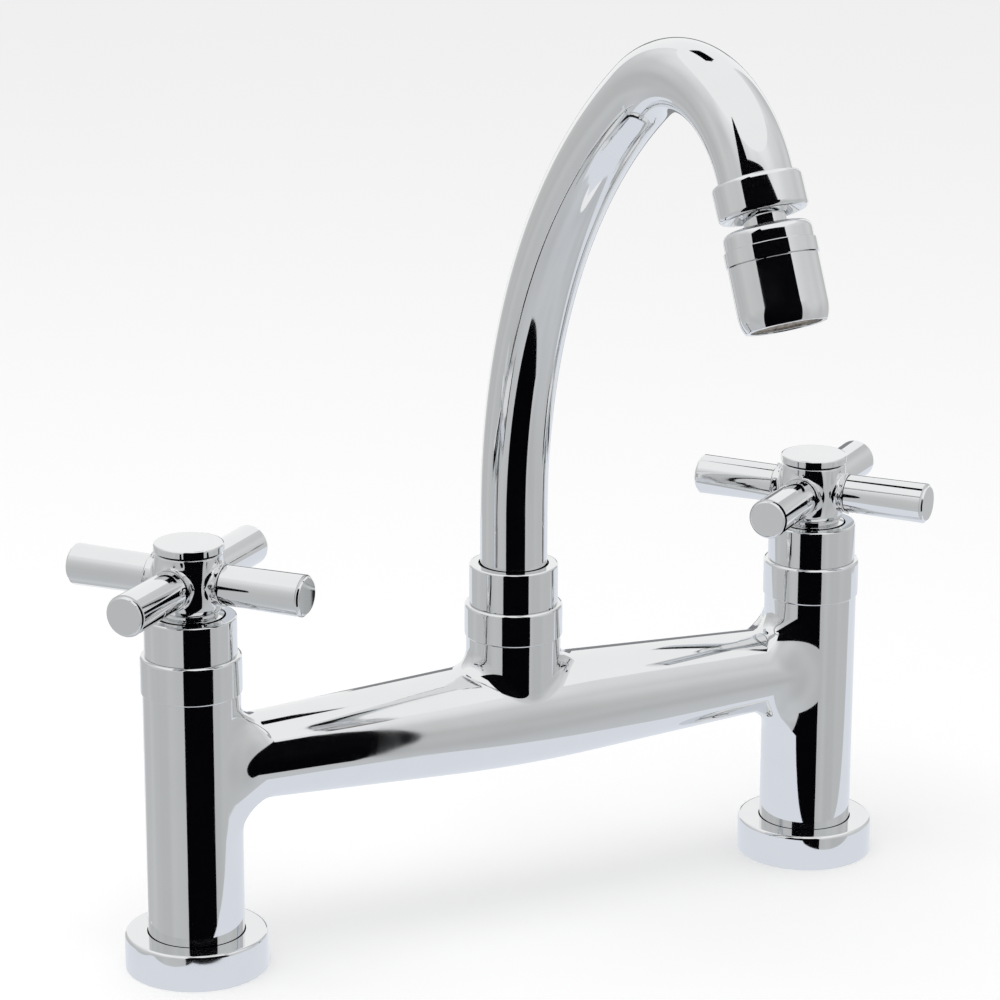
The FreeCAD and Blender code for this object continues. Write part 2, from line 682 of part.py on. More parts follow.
def make_turning_disc(label):
    """The ceramic disc that the spindle turns, with the slot for the spindle's tongue."""
    body = make_ceramic_disc(label, "turning_disc_foot", 90)
    slot = new_sketch(body, "slot", "YZ_Plane")
    top = "turning_disc_foot + disc_height"
    half = "(tongue_width / 2 + seat_gap)"
    draw_outline(
        slot,
        [(f"-{half}", f"{top} - disc_slot"), (half, f"{top} - disc_slot"), (half, top), (f"-{half}", top)],
    )
    cut_through(body, "slot_cut", slot, "tongue_length + 2 * seat_gap")
    return body


def make_spindle(label):
    """Brass spindle: tongue and dog below, thrust collar, two ring grooves, clip groove, spline."""
    outline = [
        ("0", "dog_foot"),
        ("dog_radius", "dog_foot"),
        ("dog_radius", "thrust_collar_foot"),
        ("collar_radius", "thrust_collar_foot"),
        ("collar_radius", "thrust_collar_foot + collar_height"),
        ("spindle_radius", "thrust_collar_foot + collar_height"),
    ]
    for middle in SPINDLE_RINGS:
        outline += [
            ("spindle_radius", f"{middle} - ring_groove / 2"),
            ("spindle_groove", f"{middle} - ring_groove / 2"),
            ("spindle_groove", f"{middle} + ring_groove / 2"),
            ("spindle_radius", f"{middle} + ring_groove / 2"),
        ]
    outline += [
        ("spindle_radius", "neck_top"),
        ("spline_radius - seat_gap", "neck_top"),
        ("spline_radius - seat_gap", "neck_top + clip_height + 2 * seat_gap"),
        ("spline_radius", "neck_top + clip_height + 2 * seat_gap"),
        ("spline_radius", "spline_top"),
        ("0", "spline_top"),
    ]
    body = turned(label, outline)
    tongue = new_sketch(body, "tongue", "YZ_Plane")
    half = "(tongue_width / 2)"
    foot = "(dog_foot - disc_slot)"
    draw_outline(tongue, [(f"-{half}", foot), (half, foot), (half, "dog_foot"), (f"-{half}", "dog_foot")])
    pad = body.newObject("PartDesign::Pad", f"{label}_tongue")
    pad.Profile = tongue
    pad.setExpression("Length", bound("tongue_length"))
    pad.Midplane = True
    body.Tip = pad
    screw_hole = "screw_radius + thread_clearance"
    drill(body, "screw_hole", screw_hole, "hub_recess_floor - screw_length - edge_round", "spline_top")
    return body


def make_clip(label):
    """Spring clip in the spindle's groove: it keeps the spindle from rising."""
    return turned(
        label,
        [
            ("spline_radius", "neck_top + seat_gap"),
            ("clip_radius", "neck_top + seat_gap"),
            ("clip_radius", "neck_top + seat_gap + clip_height"),
            ("spline_radius", "neck_top + seat_gap + clip_height"),
        ],
    )


# ---------------------------------------------------------------------------------------------
# Shroud over each headwork: a wide ring and a narrower sleeve
# ---------------------------------------------------------------------------------------------


def make_shroud_ring(label):
    """Chromed ring that stands on the post and covers the hexagon."""
    inner = "shroud_skirt_radius + thread_clearance"
    return turned(
        label,
        [
            (inner, "post_top + seat_gap"),
            ("post_radius", "post_top + seat_gap", "shroud_ring_radius - post_radius", -1),
            ("shroud_ring_radius", "post_top + seat_gap + shroud_ring_radius - post_radius"),
            ("shroud_ring_radius", "shroud_ring_top - ring_round", "ring_round", -1),
            ("shroud_ring_radius - ring_round", "shroud_ring_top"),
            (inner, "shroud_ring_top"),
        ],
    )


def make_shroud_sleeve(label):
    """Chromed sleeve screwed on the headwork's neck by its inner web."""
    web = "neck_radius + thread_clearance"
    return turned(
        label,
        [
            ("sleeve_bore", "hex_top + edge_round"),
            ("shroud_skirt_radius", "hex_top + edge_round"),
            ("shroud_skirt_radius", "shroud_ring_top + seat_gap"),
            ("sleeve_radius", "shroud_ring_top + seat_gap"),
            ("sleeve_radius", "sleeve_top - edge_round", "edge_round", -1),
            ("sleeve_radius - edge_round", "sleeve_top"),
            ("sleeve_mouth", "sleeve_top"),
            ("sleeve_mouth", "sleeve_top - sleeve_lip"),
            ("sleeve_bore", "sleeve_top - sleeve_lip"),
            ("sleeve_bore", "neck_top - web_height"),
            (web, "neck_top - web_height"),
            (web, "neck_top - 2 * web_height"),
            ("sleeve_bore", "neck_top - 2 * web_height"),
        ],
    )


# ---------------------------------------------------------------------------------------------
# Cross handle: hub, four screwed-in arms, fixing screw and index cap
# ---------------------------------------------------------------------------------------------


def make_hub(label):
    """Turned hub with four arm bosses, a spline socket below and a screw recess above."""
    belly_foot = "(sleeve_top + 2 * edge_round)"
    belly_top = "(arm_height - arm_boss_radius)"
    inset = "(hub_radius - hub_waist)"
    belly = f"({inset} ^ 2 + ({belly_top} - {belly_foot}) ^ 2) / (2 * {inset})"
    body = turned(
        label,
        [
            ("0", "hub_foot"),
            ("hub_skirt_radius", "hub_foot"),
            ("hub_skirt_radius", "sleeve_top + seat_gap"),
            ("hub_waist", "sleeve_top + edge_round"),
            ("hub_waist", belly_foot, belly, -1),
            ("hub_radius", belly_top),
            ("hub_radius", "arm_height + arm_boss_radius"),
            ("hub_flare", "hub_top - edge_round"),
            ("hub_flare", "hub_top"),
            ("0", "hub_top"),
        ],
    )
    boss = new_sketch(body, "boss", "YZ_Plane")
    boss.addGeometry(
        Part.Circle(Vector(0, size("arm_height"), 0), Vector(0, 0, 1), size("arm_boss_radius"))
    )
    bind(boss, "Radius", (0,), "arm_boss_radius")
    bind(boss, "DistanceX", (-1, 1, 0, 3), "0")
    bind(boss, "DistanceY", (-1, 1, 0, 3), "arm_height")
    pad = body.newObject("PartDesign::Pad", f"{label}_boss")
    pad.Profile = boss
    pad.setExpression("Length", bound("arm_boss_reach"))
    body.Tip = pad
    repeat(body, pad, 4)
    hole = new_sketch(body, "stud_hole", "YZ_Plane", "arm_boss_reach")
    stud_hole = "arm_stud_radius + thread_clearance"
    hole.addGeometry(Part.Circle(Vector(0, size("arm_height"), 0), Vector(0, 0, 1), size(stud_hole)))
    bind(hole, "Radius", (0,), stud_hole)
    bind(hole, "DistanceX", (-1, 1, 0, 3), "0")
    bind(hole, "DistanceY", (-1, 1, 0, 3), "arm_height")
    cut = body.newObject("PartDesign::Pocket", f"{label}_stud_hole")
    cut.Profile = hole
    cut.setExpression("Length", bound("arm_boss_reach - arm_stud_foot + seat_gap"))
    body.Tip = cut
    repeat(body, cut, 4)
    drill(body, "recess", "hub_recess", "hub_recess_floor", "hub_top")
    drill(body, "screw_way", "screw_radius + edge_round / 2", "spline_top", "hub_recess_floor")
    drill(body, "spline", "spline_radius + seat_gap", "hub_foot", "spline_top + seat_gap")
    return body


def make_arms(label):
    """Four turned arms, each with a stud for its boss; heights are from the arms' own level."""
    body = new_body(label)
    body.AllowCompound = True
    section = new_sketch(body, "section", "XZ_Plane")
    root = "arm_boss_reach + arm_seam"
    draw_outline(
        section,
        [
            ("arm_stud_foot", "0"),
            ("arm_reach", "0"),
            ("arm_reach", "arm_tip_radius - arm_tip_round", "arm_tip_round", 1),
            ("arm_reach - arm_tip_round", "arm_tip_radius"),
            (root, "arm_root_radius"),
            (root, "arm_stud_radius"),
            ("arm_stud_foot", "arm_stud_radius"),
        ],
    )
    turn = body.newObject("PartDesign::Revolution", f"{label}_turn")
    turn.Profile = section
    turn.ReferenceAxis = (section, ["H_Axis"])
    turn.Angle = 360
    body.Tip = turn
    repeat(body, turn, 4)
    return body


def make_handle_screw(label):
    """Cap screw that pulls the hub down on the spindle, with a hexagon socket."""
    head = "(hub_recess_floor + seat_gap)"
    body = turned(
        label,
        [
            ("0", "hub_recess_floor - screw_length"),
            ("screw_radius", "hub_recess_floor - screw_length"),
            ("screw_radius", head),
            ("screw_head_radius", head),
            ("screw_head_radius", f"{head} + screw_head_height"),
            ("0", f"{head} + screw_head_height"),
        ],
    )
    socket = new_sketch(body, "socket", "XY_Plane", f"{head} + screw_head_height")
    draw_polygon(socket, 6, "socket_flats / 2")
    cut = body.newObject("PartDesign::Pocket", f"{label}_socket")
    cut.Profile = socket
    cut.setExpression("Length", bound("screw_head_height - edge_round"))
    body.Tip = cut
    return body


def make_index_cap(label):
    """Plain chromed disc with a plug that snaps into the hub's recess."""
    disc = "(hub_top + cap_gap)"
    return turned(
        label,
        [
            ("0", f"{disc} - cap_plug_height"),
            ("hub_recess - seat_gap", f"{disc} - cap_plug_height"),
            ("hub_recess - seat_gap", disc),
            ("cap_radius", disc),
            ("cap_radius", f"{disc} + cap_height - edge_round", "edge_round", -1),
            ("cap_radius - edge_round", f"{disc} + cap_height"),
            ("0", f"{disc} + cap_height"),
        ],
    )


for side, x in SIDES.items():
    angle = f"{side}_handle_angle"
    keep(stand(make_flange(f"{side}_base_flange"), x))
    keep(stand(make_deck_seal(f"{side}_deck_seal"), x))
    keep(stand(make_valve_seat(f"{side}_valve_seat_seal"), x))
    keep(stand(make_ceramic_disc(f"{side}_fixed_disc", "fixed_disc_foot", 0), x))
    keep(stand(make_headwork_body(f"{side}_headwork_body"), x))
    keep(stand(make_headwork_washer(f"{side}_headwork_washer"), x))
    keep(stand(make_shroud_ring(f"{side}_shroud_ring"), x))
    keep(stand(make_shroud_sleeve(f"{side}_shroud_sleeve"), x))
    keep(stand(make_turning_disc(f"{side}_turning_disc"), x))
    keep(stand(make_spindle(f"{side}_spindle"), x))
    keep(stand(o_ring(f"{side}_spindle_o_rings", "spindle_groove + seat_gap", SPINDLE_RINGS), x))
    keep(stand(make_clip(f"{side}_spindle_clip"), x))
    keep(stand(make_hub(f"{side}_handle_hub"), x, angle=angle))
    keep(stand(make_arms(f"{side}_handle_arms"), x, height="arm_height", angle=angle))
    keep(stand(make_handle_screw(f"{side}_handle_screw"), x))
    keep(stand(make_index_cap(f"{side}_index_cap"), x))


# ---------------------------------------------------------------------------------------------
# Spout joint on the boss: trim ring, screwed collar, spigot and what seals and holds it
# ---------------------------------------------------------------------------------------------

SPIGOT_RINGS = ("spigot_foot + 0.8 * ring_groove", "spigot_foot + 2.2 * ring_groove")


def make_trim_ring():
    """Chromed ring clamped between the boss and the collar."""
    inner = "collar_thread_radius + 2 * thread_clearance"
    rim = "trim_radius - boss_radius"
    return turned(
        "spout_trim_ring",
        [
            (inner, "boss_top + seat_gap"),
            ("boss_radius", "boss_top + seat_gap", rim, -1),
            ("trim_radius", f"boss_top + seat_gap + {rim}"),
            ("trim_radius", "trim_top - ring_round", "ring_round", -1),
            ("trim_radius - ring_round", "trim_top"),
            (inner, "trim_top"),
        ],
    )


def make_spout_collar():
    """Chromed collar screwed into the boss; the spout turns in its bore."""
    bore = "spigot_radius + running_clearance"
    return turned(
        "spout_collar",
        [
            (bore, "spout_collar_foot"),
            ("collar_thread_radius", "spout_collar_foot"),
            ("collar_thread_radius", "trim_top + seat_gap"),
            ("collar_sleeve_radius", "trim_top + seat_gap"),
            ("collar_sleeve_radius", "collar_sleeve_top - edge_round", "edge_round", -1),
            ("collar_sleeve_radius - edge_round", "collar_sleeve_top"),
            ("collar_mouth", "collar_sleeve_top"),
            ("collar_mouth", "collar_sleeve_top - ring_groove"),
            (bore, "collar_sleeve_top - ring_groove - (collar_mouth - spigot_radius)"),
        ],
    )


def make_spigot():
    """Turned brass spigot, brazed into the tube's foot: O-rings below, split ring above them."""
    split_low = "split_ring_foot - seat_gap"
    split_high = "split_ring_top + seat_gap"
    split_floor = "split_ring_inner - seat_gap"
    plug = "tube_radius - tube_wall - seat_gap"
    outline = [("waterway_radius", "spigot_foot"), ("spigot_radius", "spigot_foot")]
    for middle in SPIGOT_RINGS:
        outline += [
            ("spigot_radius", f"{middle} - ring_groove / 2"),
            ("spigot_groove", f"{middle} - ring_groove / 2"),
            ("spigot_groove", f"{middle} + ring_groove / 2"),
            ("spigot_radius", f"{middle} + ring_groove / 2"),
        ]
    outline += [
        ("spigot_radius", split_low),
        (split_floor, split_low),
        (split_floor, split_high),
        ("spigot_radius", split_high),
        ("spigot_radius", "spigot_shoulder"),
        (plug, "spigot_shoulder"),
        (plug, "spigot_plug_top"),
        ("waterway_radius", "spigot_plug_top"),
    ]
    return turned("spout_spigot", outline)


def make_split_ring():
    """Split ring in the spigot's groove: the collar above it keeps the spout from lifting."""
    body = turned(
        "spout_split_ring",
        [
            ("split_ring_inner", "split_ring_foot"),
            ("split_ring_radius", "split_ring_foot"),
            ("split_ring_radius", "split_ring_top"),
            ("split_ring_inner", "split_ring_top"),
        ],
    )
    gap = new_sketch(body, "gap", "XY_Plane", "split_ring_top")
    draw_outline(
        gap,
        [
            ("split_ring_inner - ring_groove", "-ring_groove / 2"),
            ("split_ring_radius + ring_groove", "-ring_groove / 2"),
            ("split_ring_radius + ring_groove", "ring_groove / 2"),
            ("split_ring_inner - ring_groove", "ring_groove / 2"),
        ],
    )
    cut_through(body, "gap_cut", gap, "2 * split_ring_thickness")
    return body


def make_slip_washer():
    """Plastic washer between the turning split ring and the collar's foot."""
    low = "slip_washer_top - slip_washer_thickness"
    return turned(
        "spout_slip_washer",
        [
            ("spigot_radius + running_clearance", low),
            ("split_ring_radius", low),
            ("split_ring_radius", "slip_washer_top"),
            ("spigot_radius + running_clearance", "slip_washer_top"),
        ],
    )


keep(make_trim_ring())
keep(make_spout_collar())
keep(make_slip_washer())
keep(stand(make_spigot(), angle="spout_angle"))
keep(stand(make_split_ring(), angle="spout_angle"))
keep(stand(o_ring("spout_o_rings", "spigot_groove + seat_gap", SPIGOT_RINGS), angle="spout_angle"))


# ---------------------------------------------------------------------------------------------
# Spout tube: straight out of the collar, one easy bend up, one tight crown, short straight end
# ---------------------------------------------------------------------------------------------

BENDS = (("rise_radius", "rise_sweep"), ("crown_radius", "crown_sweep"))


def spout_line():
    """The tube's centre line as its bends' centres, their ends and the tube's last point.

    Points are (forward, up) in the spout's own upright plane, and turns are in degrees from
    straight up.
    """
    forward, up, turn = 0.0, size("tube_straight_top"), 0.0
    arcs = []
    for radius_name, sweep_name in BENDS:
        radius, sweep = size(radius_name), size(sweep_name)
        lean = math.radians(turn)
        centre = (forward + radius * math.cos(lean), up - radius * math.sin(lean))
        start, turn = (forward, up), turn + sweep
        lean = math.radians(turn)
        forward, up = centre[0] - radius * math.cos(lean), centre[1] + radius * math.sin(lean)
        arcs.append((centre, radius, turn - sweep, turn, start, (forward, up)))
    tail, lean = size("tube_tail"), math.radians(turn)
    return arcs, (forward + tail * math.sin(lean), up + tail * math.cos(lean)), turn


def make_spout_tube():
    """Bent and chromed brass tube, swept as a ring along its centre line."""
    body = new_body("spout_tube")
    ring = new_sketch(body, "ring", "XY_Plane", "spigot_shoulder + seat_gap")
    for index, radius in enumerate(("tube_radius", "tube_radius - tube_wall")):
        ring.addGeometry(Part.Circle(Vector(0, 0, 0), Vector(0, 0, 1), size(radius)))
        ring.addConstraint(Sketcher.Constraint("Coincident", index, 3, -1, 1))
        bind(ring, "Radius", (index,), radius)
    path = new_sketch(body, "path", "YZ_Plane")
    arcs, end, _ = spout_line()
    foot = size("spigot_shoulder + seat_gap")
    path.addGeometry(Part.LineSegment(Vector(0, foot, 0), Vector(0, size("tube_straight_top"), 0)))
    bind(path, "DistanceX", (-1, 1, 0, 1), "0")
    bind(path, "DistanceY", (-1, 1, 0, 1), "spigot_shoulder + seat_gap")
    path.addConstraint(Sketcher.Constraint("Vertical", 0))
    bind(path, "DistanceY", (-1, 1, 0, 2), "tube_straight_top")
    for number, (centre, radius, turn_in, turn_out, _, _) in enumerate(arcs, start=1):
        circle = Part.Circle(Vector(-centre[0], centre[1], 0), Vector(0, 0, 1), radius)
        path.addGeometry(Part.ArcOfCircle(circle, math.radians(turn_in), math.radians(turn_out)))
        path.addConstraint(Sketcher.Constraint("Tangent", number - 1, 2, number, 1))
        bind(path, "Radius", (number,), BENDS[number - 1][0])
        sweep_name = BENDS[number - 1][1]
        index = path.addConstraint(
            Sketcher.Constraint("Angle", number, math.radians(size(sweep_name)))
        )
        path.setExpression(f"Constraints[{index}]", bound(f"{sweep_name} * 1 deg"))
    last = arcs[-1][5]
    path.addGeometry(Part.LineSegment(Vector(-last[0], last[1], 0), Vector(-end[0], end[1], 0)))
    path.addConstraint(Sketcher.Constraint("Tangent", len(arcs), 2, len(arcs) + 1, 1))
    bind(path, "Distance", (len(arcs) + 1,), "tube_tail")
    sweep = body.newObject("PartDesign::AdditivePipe", "spout_tube_sweep")
    sweep.Profile = ring
    sweep.Spine = path
    body.Tip = sweep
    return body


keep(stand(make_spout_tube(), angle="spout_angle"))


def at_outlet(piece, depth, lean):
    """Places a piece on the spout's end axis, depth below the tube's end.

    The piece's own +Z points back up the tube; lean tips it further towards plumb.
    """
    _, (forward, up), turn = spout_line()
    heading = math.radians(turn)
    forward += depth * math.sin(heading)
    up += depth * math.cos(heading)
    swivel = Rotation(Vector(0, 0, 1), size("spout_angle"))
    tip = Rotation(Vector(1, 0, 0), turn + lean - 180)
    piece.Placement = Placement(swivel.multVec(Vector(0, -forward, up)), swivel.multiply(tip))
    return piece


# ---------------------------------------------------------------------------------------------
# Swivel nut and ball seat at the tube's end.  Heights are from the tube's end, up its axis.
# ---------------------------------------------------------------------------------------------



def make_end_fitting():
    """Brass fitting brazed into the tube's end, threaded for the nut."""
    plug = "tube_radius - tube_wall - seat_gap"
    flat_lean = "asin(ball_flat / ball_radius) + (tilt_limit + outlet_tilt) * 1 deg"
    clear_top = f"ball_radius * sin({flat_lean}) - ball_depth + ball_clearance"
    relief = "(fitting_plug - tube_tail) ^ 2 / (2 * crown_radius)"
    return turned(
        "spout_end_fitting",
        [
            ("fitting_bore", "fitting_plug"),
            ("fitting_bore", clear_top),
            ("socket_radius", clear_top),
            ("socket_radius", "-fitting_length"),
            ("fitting_thread_radius", "-fitting_length"),
            ("fitting_thread_radius", "-seat_gap"),
            (plug, "-seat_gap"),
            (plug, "tube_tail"),
            (f"{plug} - {relief}", "fitting_plug"),
        ],
    )


def make_swivel_nut():
    """Chromed nut with a cupped underside; its inner ledge carries the ball."""
    lip_radius = "sqrt(socket_radius ^ 2 - nut_lip_depth ^ 2)"
    lip = "(ball_depth + nut_lip_depth)"
    thread = "fitting_thread_radius + thread_clearance"
    return turned(
        "swivel_nut",
        [
            (thread, "0"),
            (thread, "-ball_depth"),
            ("socket_radius", "-ball_depth", "socket_radius", 1),
            (lip_radius, f"-{lip}"),
            (lip_radius, f"-{lip} - nut_lip_height"),
            ("nut_cup_radius", "-nut_height"),
            ("nut_radius - nut_round", "-nut_height", "nut_round", -1),
            ("nut_radius", "-nut_height + nut_round"),
            ("nut_radius", "-nut_round", "nut_round", -1),
            ("nut_radius - nut_round", "0"),
        ],
    )


def make_ball_seat():
    """Plastic ring over the ball; it turns with the ball about the nut's axis."""
    top = "(fitting_length + seat_gap)"
    foot = "(ball_depth - seat_gap)"
    top_radius = f"sqrt(socket_radius ^ 2 - (ball_depth - {top}) ^ 2)"
    foot_radius = f"sqrt(socket_radius ^ 2 - (ball_depth - {foot}) ^ 2)"
    return turned(
        "ball_seat",
        [
            (foot_radius, f"-{foot}"),
            ("ball_seat_radius", f"-{foot}"),
            ("ball_seat_radius", f"-{top}"),
            (top_radius, f"-{top}", "socket_radius", 1),
        ],
    )


keep(at_outlet(make_end_fitting(), 0, 0))
keep(at_outlet(make_swivel_nut(), 0, 0))
keep(at_outlet(make_ball_seat(), 0, 0))


# ---------------------------------------------------------------------------------------------
# Outlet on the ball: stem, cap, sleeve and aerator.  Heights are from the ball's centre.
# ---------------------------------------------------------------------------------------------



def make_ball_stem():
    """Chromed ball on a hollow neck, with a flange under the cap's roof."""
    return turned(
        "ball_stem",
        [
            ("stem_bore", "ball_flat"),
            ("sqrt(ball_radius ^ 2 - ball_flat ^ 2)", "ball_flat", "ball_radius", 1),
            ("stem_radius", "-sqrt(ball_radius ^ 2 - stem_radius ^ 2)"),
            ("stem_radius", "-cap_roof_foot - seat_gap"),
            ("stem_flange_radius", "-cap_roof_foot - seat_gap"),
            ("stem_flange_radius", "-flange_foot"),
            ("stem_bore", "-flange_foot"),
        ],
    )


def make_outlet_cap():
    """Chromed cap: rounded shoulder, small step to a wider band, threaded skirt below."""
    hole = "stem_radius + seat_gap"
    skirt_foot = "outlet_cap_foot + cap_skirt_length"
    return turned(
        "outlet_cap",
        [
            (hole, "-outlet_cap_top"),
            ("cap_upper_radius - cap_shoulder", "-outlet_cap_top", "cap_shoulder", 1),
            ("cap_upper_radius", "-outlet_cap_top - cap_shoulder"),
            ("cap_upper_radius", "-outlet_cap_top - cap_upper_height"),
            ("cap_band_radius", "-outlet_cap_top - cap_upper_height - cap_step"),
            ("cap_band_radius", "-outlet_cap_foot"),
            ("cap_skirt_radius", "-outlet_cap_foot"),
            ("cap_skirt_radius", f"-({skirt_foot})"),
            ("cap_cavity_radius", f"-({skirt_foot})"),
            ("cap_cavity_radius", "-cap_roof_foot"),
            (hole, "-cap_roof_foot"),
        ],
    )


def make_stem_washer():
    """Rubber washer under the stem's flange."""
    top = "flange_foot + seat_gap"
    return turned(
        "stem_washer",
        [
            ("stem_bore", f"-({top})"),
            ("cap_cavity_radius - seat_gap", f"-({top})"),
            ("cap_cavity_radius - seat_gap", f"-({top}) - washer_height"),
            ("stem_bore", f"-({top}) - washer_height"),
        ],
    )


def make_outlet_sleeve():
    """Chromed sleeve screwed on the cap's skirt, rounded in towards its rim."""
    thread = "cap_skirt_radius + thread_clearance"
    inset = "(outlet_radius - outlet_rim_radius)"
    end_round = f"({inset} ^ 2 + outlet_taper ^ 2) / (2 * {inset})"
    relief = "outlet_cap_foot + cap_skirt_length + edge_round"
    return turned(
        "outlet_sleeve",
        [
            (thread, "-outlet_top"),
            ("outlet_radius - edge_round / 2", "-outlet_top"),
            ("outlet_radius", "-outlet_top - edge_round / 2"),
            ("outlet_radius", "-outlet_foot + outlet_taper", end_round, 1),
            ("outlet_rim_radius", "-outlet_foot"),
            ("outlet_lip_radius", "-outlet_foot"),
            ("outlet_lip_radius", "-outlet_foot + outlet_lip_height"),
            ("outlet_bore", "-outlet_foot + outlet_lip_height"),
            ("outlet_bore", f"-({relief})"),
            (thread, f"-({relief})"),
        ],
    )


def make_aerator_body():
    """Plastic cartridge standing on the sleeve's lip, with a ledge over its screen."""
    inner = "aerator_radius - aerator_wall"
    ledge = "aerator_foot - screen_height - seat_gap"
    return turned(
        "aerator_body",
        [
            (inner, "-aerator_foot"),
            ("aerator_radius", "-aerator_foot"),
            ("aerator_radius", "-aerator_top"),
            (inner, "-aerator_top"),
            (inner, f"-({ledge}) + aerator_wall"),
            (f"{inner} - aerator_wall", f"-({ledge}) + aerator_wall"),
            (f"{inner} - aerator_wall", f"-({ledge})"),
            (inner, f"-({ledge})"),
        ],
    )


def make_aerator_washer():
    """Rubber washer that the cap's skirt presses on the aerator."""
    low = "-aerator_washer_top - washer_height"
    return turned(
        "aerator_washer",
        [
            ("cap_cavity_radius - aerator_wall", low),
            ("aerator_radius", low),
            ("aerator_radius", "-aerator_washer_top"),
            ("cap_cavity_radius - aerator_wall", "-aerator_washer_top"),
        ],
    )


def make_aerator_screen():
    """Outlet screen: a thin disc with rings of small holes round one in the middle."""
    radius = "aerator_radius - aerator_wall - seat_gap"
    body = turned(
        "aerator_screen",
        [
            ("0", "-aerator_foot"),
            (radius, "-aerator_foot"),
            (radius, "-aerator_foot + screen_height"),
            ("0", "-aerator_foot + screen_height"),
        ],
    )
    low, high = "-aerator_foot", "-aerator_foot + screen_height"
    drill(body, "middle", "screen_hole", low, high)
    for ring in range(1, 4):
        offset = f"{ring} * ({radius} - 2 * screen_hole) / 3"
        hole = drill(body, f"ring_{ring}", "screen_hole", low, high, offset)
        repeat(body, hole, 6 * ring)
    return body


for make in (
    make_ball_stem,
    make_outlet_cap,
    make_stem_washer,
    make_outlet_sleeve,
    make_aerator_body,
    make_aerator_washer,
    make_aerator_screen,
):
    keep(at_outlet(make(), size("ball_depth"), size("outlet_tilt")))


# ---------------------------------------------------------------------------------------------
# Check and write
# ---------------------------------------------------------------------------------------------

doc.recompute()
for piece in doc.Objects:
    if "Invalid" in piece.State or "Error" in piece.State:
        raise RuntimeError(f"{piece.Label} failed: {piece.State}")
for piece in nodes:
    if piece.Shape.isNull() or not piece.Shape.isValid():
        raise RuntimeError(f"{piece.Label} has no valid shape")

os.makedirs("parts", exist_ok=True)
for piece in nodes:
    piece.Shape.exportStep(f"parts/{piece.Label}.step")
    print(piece.Label, len(piece.Shape.Solids), round(piece.Shape.Volume, 1))

_, (end_forward, end_up), end_turn = spout_line()
print("tube end", round(end_forward, 3), round(end_up, 3), "turn", round(end_turn, 3))
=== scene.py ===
import json
import math

import bmesh
import bpy
from mathutils import Matrix, Vector


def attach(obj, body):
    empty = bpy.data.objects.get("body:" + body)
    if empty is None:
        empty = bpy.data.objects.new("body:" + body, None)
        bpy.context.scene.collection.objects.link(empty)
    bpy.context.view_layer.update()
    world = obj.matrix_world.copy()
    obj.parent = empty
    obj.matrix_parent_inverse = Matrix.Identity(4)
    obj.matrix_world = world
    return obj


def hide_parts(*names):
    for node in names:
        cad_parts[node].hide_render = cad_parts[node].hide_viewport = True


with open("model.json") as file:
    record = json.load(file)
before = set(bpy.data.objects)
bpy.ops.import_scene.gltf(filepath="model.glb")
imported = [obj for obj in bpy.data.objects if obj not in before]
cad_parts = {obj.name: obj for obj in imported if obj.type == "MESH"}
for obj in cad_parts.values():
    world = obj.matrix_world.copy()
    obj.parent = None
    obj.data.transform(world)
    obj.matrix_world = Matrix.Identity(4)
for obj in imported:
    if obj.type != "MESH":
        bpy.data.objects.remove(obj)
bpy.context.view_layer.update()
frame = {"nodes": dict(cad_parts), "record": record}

# ---------------------------------------------------------------------------------------------
# Bridge casting: one brass casting holds both valve posts, the tapered bar between them and the
# spout's boss. It is ground smooth with soft fillets, polished by hand and chromed, so its
# reflections wander a little more than they do on the turned pieces.
# ---------------------------------------------------------------------------------------------

MM = 0.001
POSTS = {"left": -101.6, "right": 101.6}
POST_RADIUS = 13.85
POST_FOOT = 4.8
POST_TOP = 82.9
BAR_HEIGHT = 60.75
BAR_END_RADIUS = 11.6
BAR_MID_RADIUS = 15.9
BAR_BELLY = 22.0
FILLET_ABOVE = 5.5
FILLET_BELOW = 9.0
FILLET_BESIDE = 34.0
BOSS_RADIUS = 13.8
BOSS_TOP = 84.9
BOSS_FILLET = 6.0
TAPER = (BAR_MID_RADIUS - BAR_END_RADIUS) / (POSTS["right"] - BAR_BELLY / 2)
BELLY_EDGE = BAR_MID_RADIUS - TAPER * BAR_BELLY / 2
BELLY_ARC = BAR_BELLY * math.hypot(1, TAPER) / TAPER


class Value:
    """A number that changes over a surface; arithmetic on it adds Math nodes."""

    def __init__(self, nodes, socket):
        self.nodes = nodes
        self.socket = socket

    def combine(self, operation, first, second):
        return self.nodes.add("ShaderNodeMath", {"operation": operation}, {0: first, 1: second})

    def __add__(self, other):
        return self.combine("ADD", self, other)

    def __sub__(self, other):
        return self.combine("SUBTRACT", self, other)

    def __rsub__(self, other):
        return self.combine("SUBTRACT", other, self)

    def __mul__(self, other):
        return self.combine("MULTIPLY", self, other)

    __radd__ = __add__
    __rmul__ = __mul__


class Nodes:
    """The nodes of one material or of the world."""

    def __init__(self, owner):
        owner.use_nodes = True
        self.tree = owner.node_tree

    def add(self, kind, settings=None, inputs=None, output=0):
        node = self.tree.nodes.new(kind)
        for name, value in (settings or {}).items():
            if name == "stops":
                self.set_stops(node.color_ramp.elements, value)
            else:
                setattr(node, name, value)
        for name, value in (inputs or {}).items():
            self.feed(node.inputs[name], value)
        return Value(self, node.outputs[output])

    def set_stops(self, elements, stops):
        while len(elements) < len(stops):
            elements.new(1.0)
        for element, (position, shade) in zip(elements, stops):
            element.position = position
            element.color = (*shade, 1.0)

    def feed(self, socket, value):
        if isinstance(value, Value):
            self.tree.links.new(value.socket, socket)
        else:
            socket.default_value = value


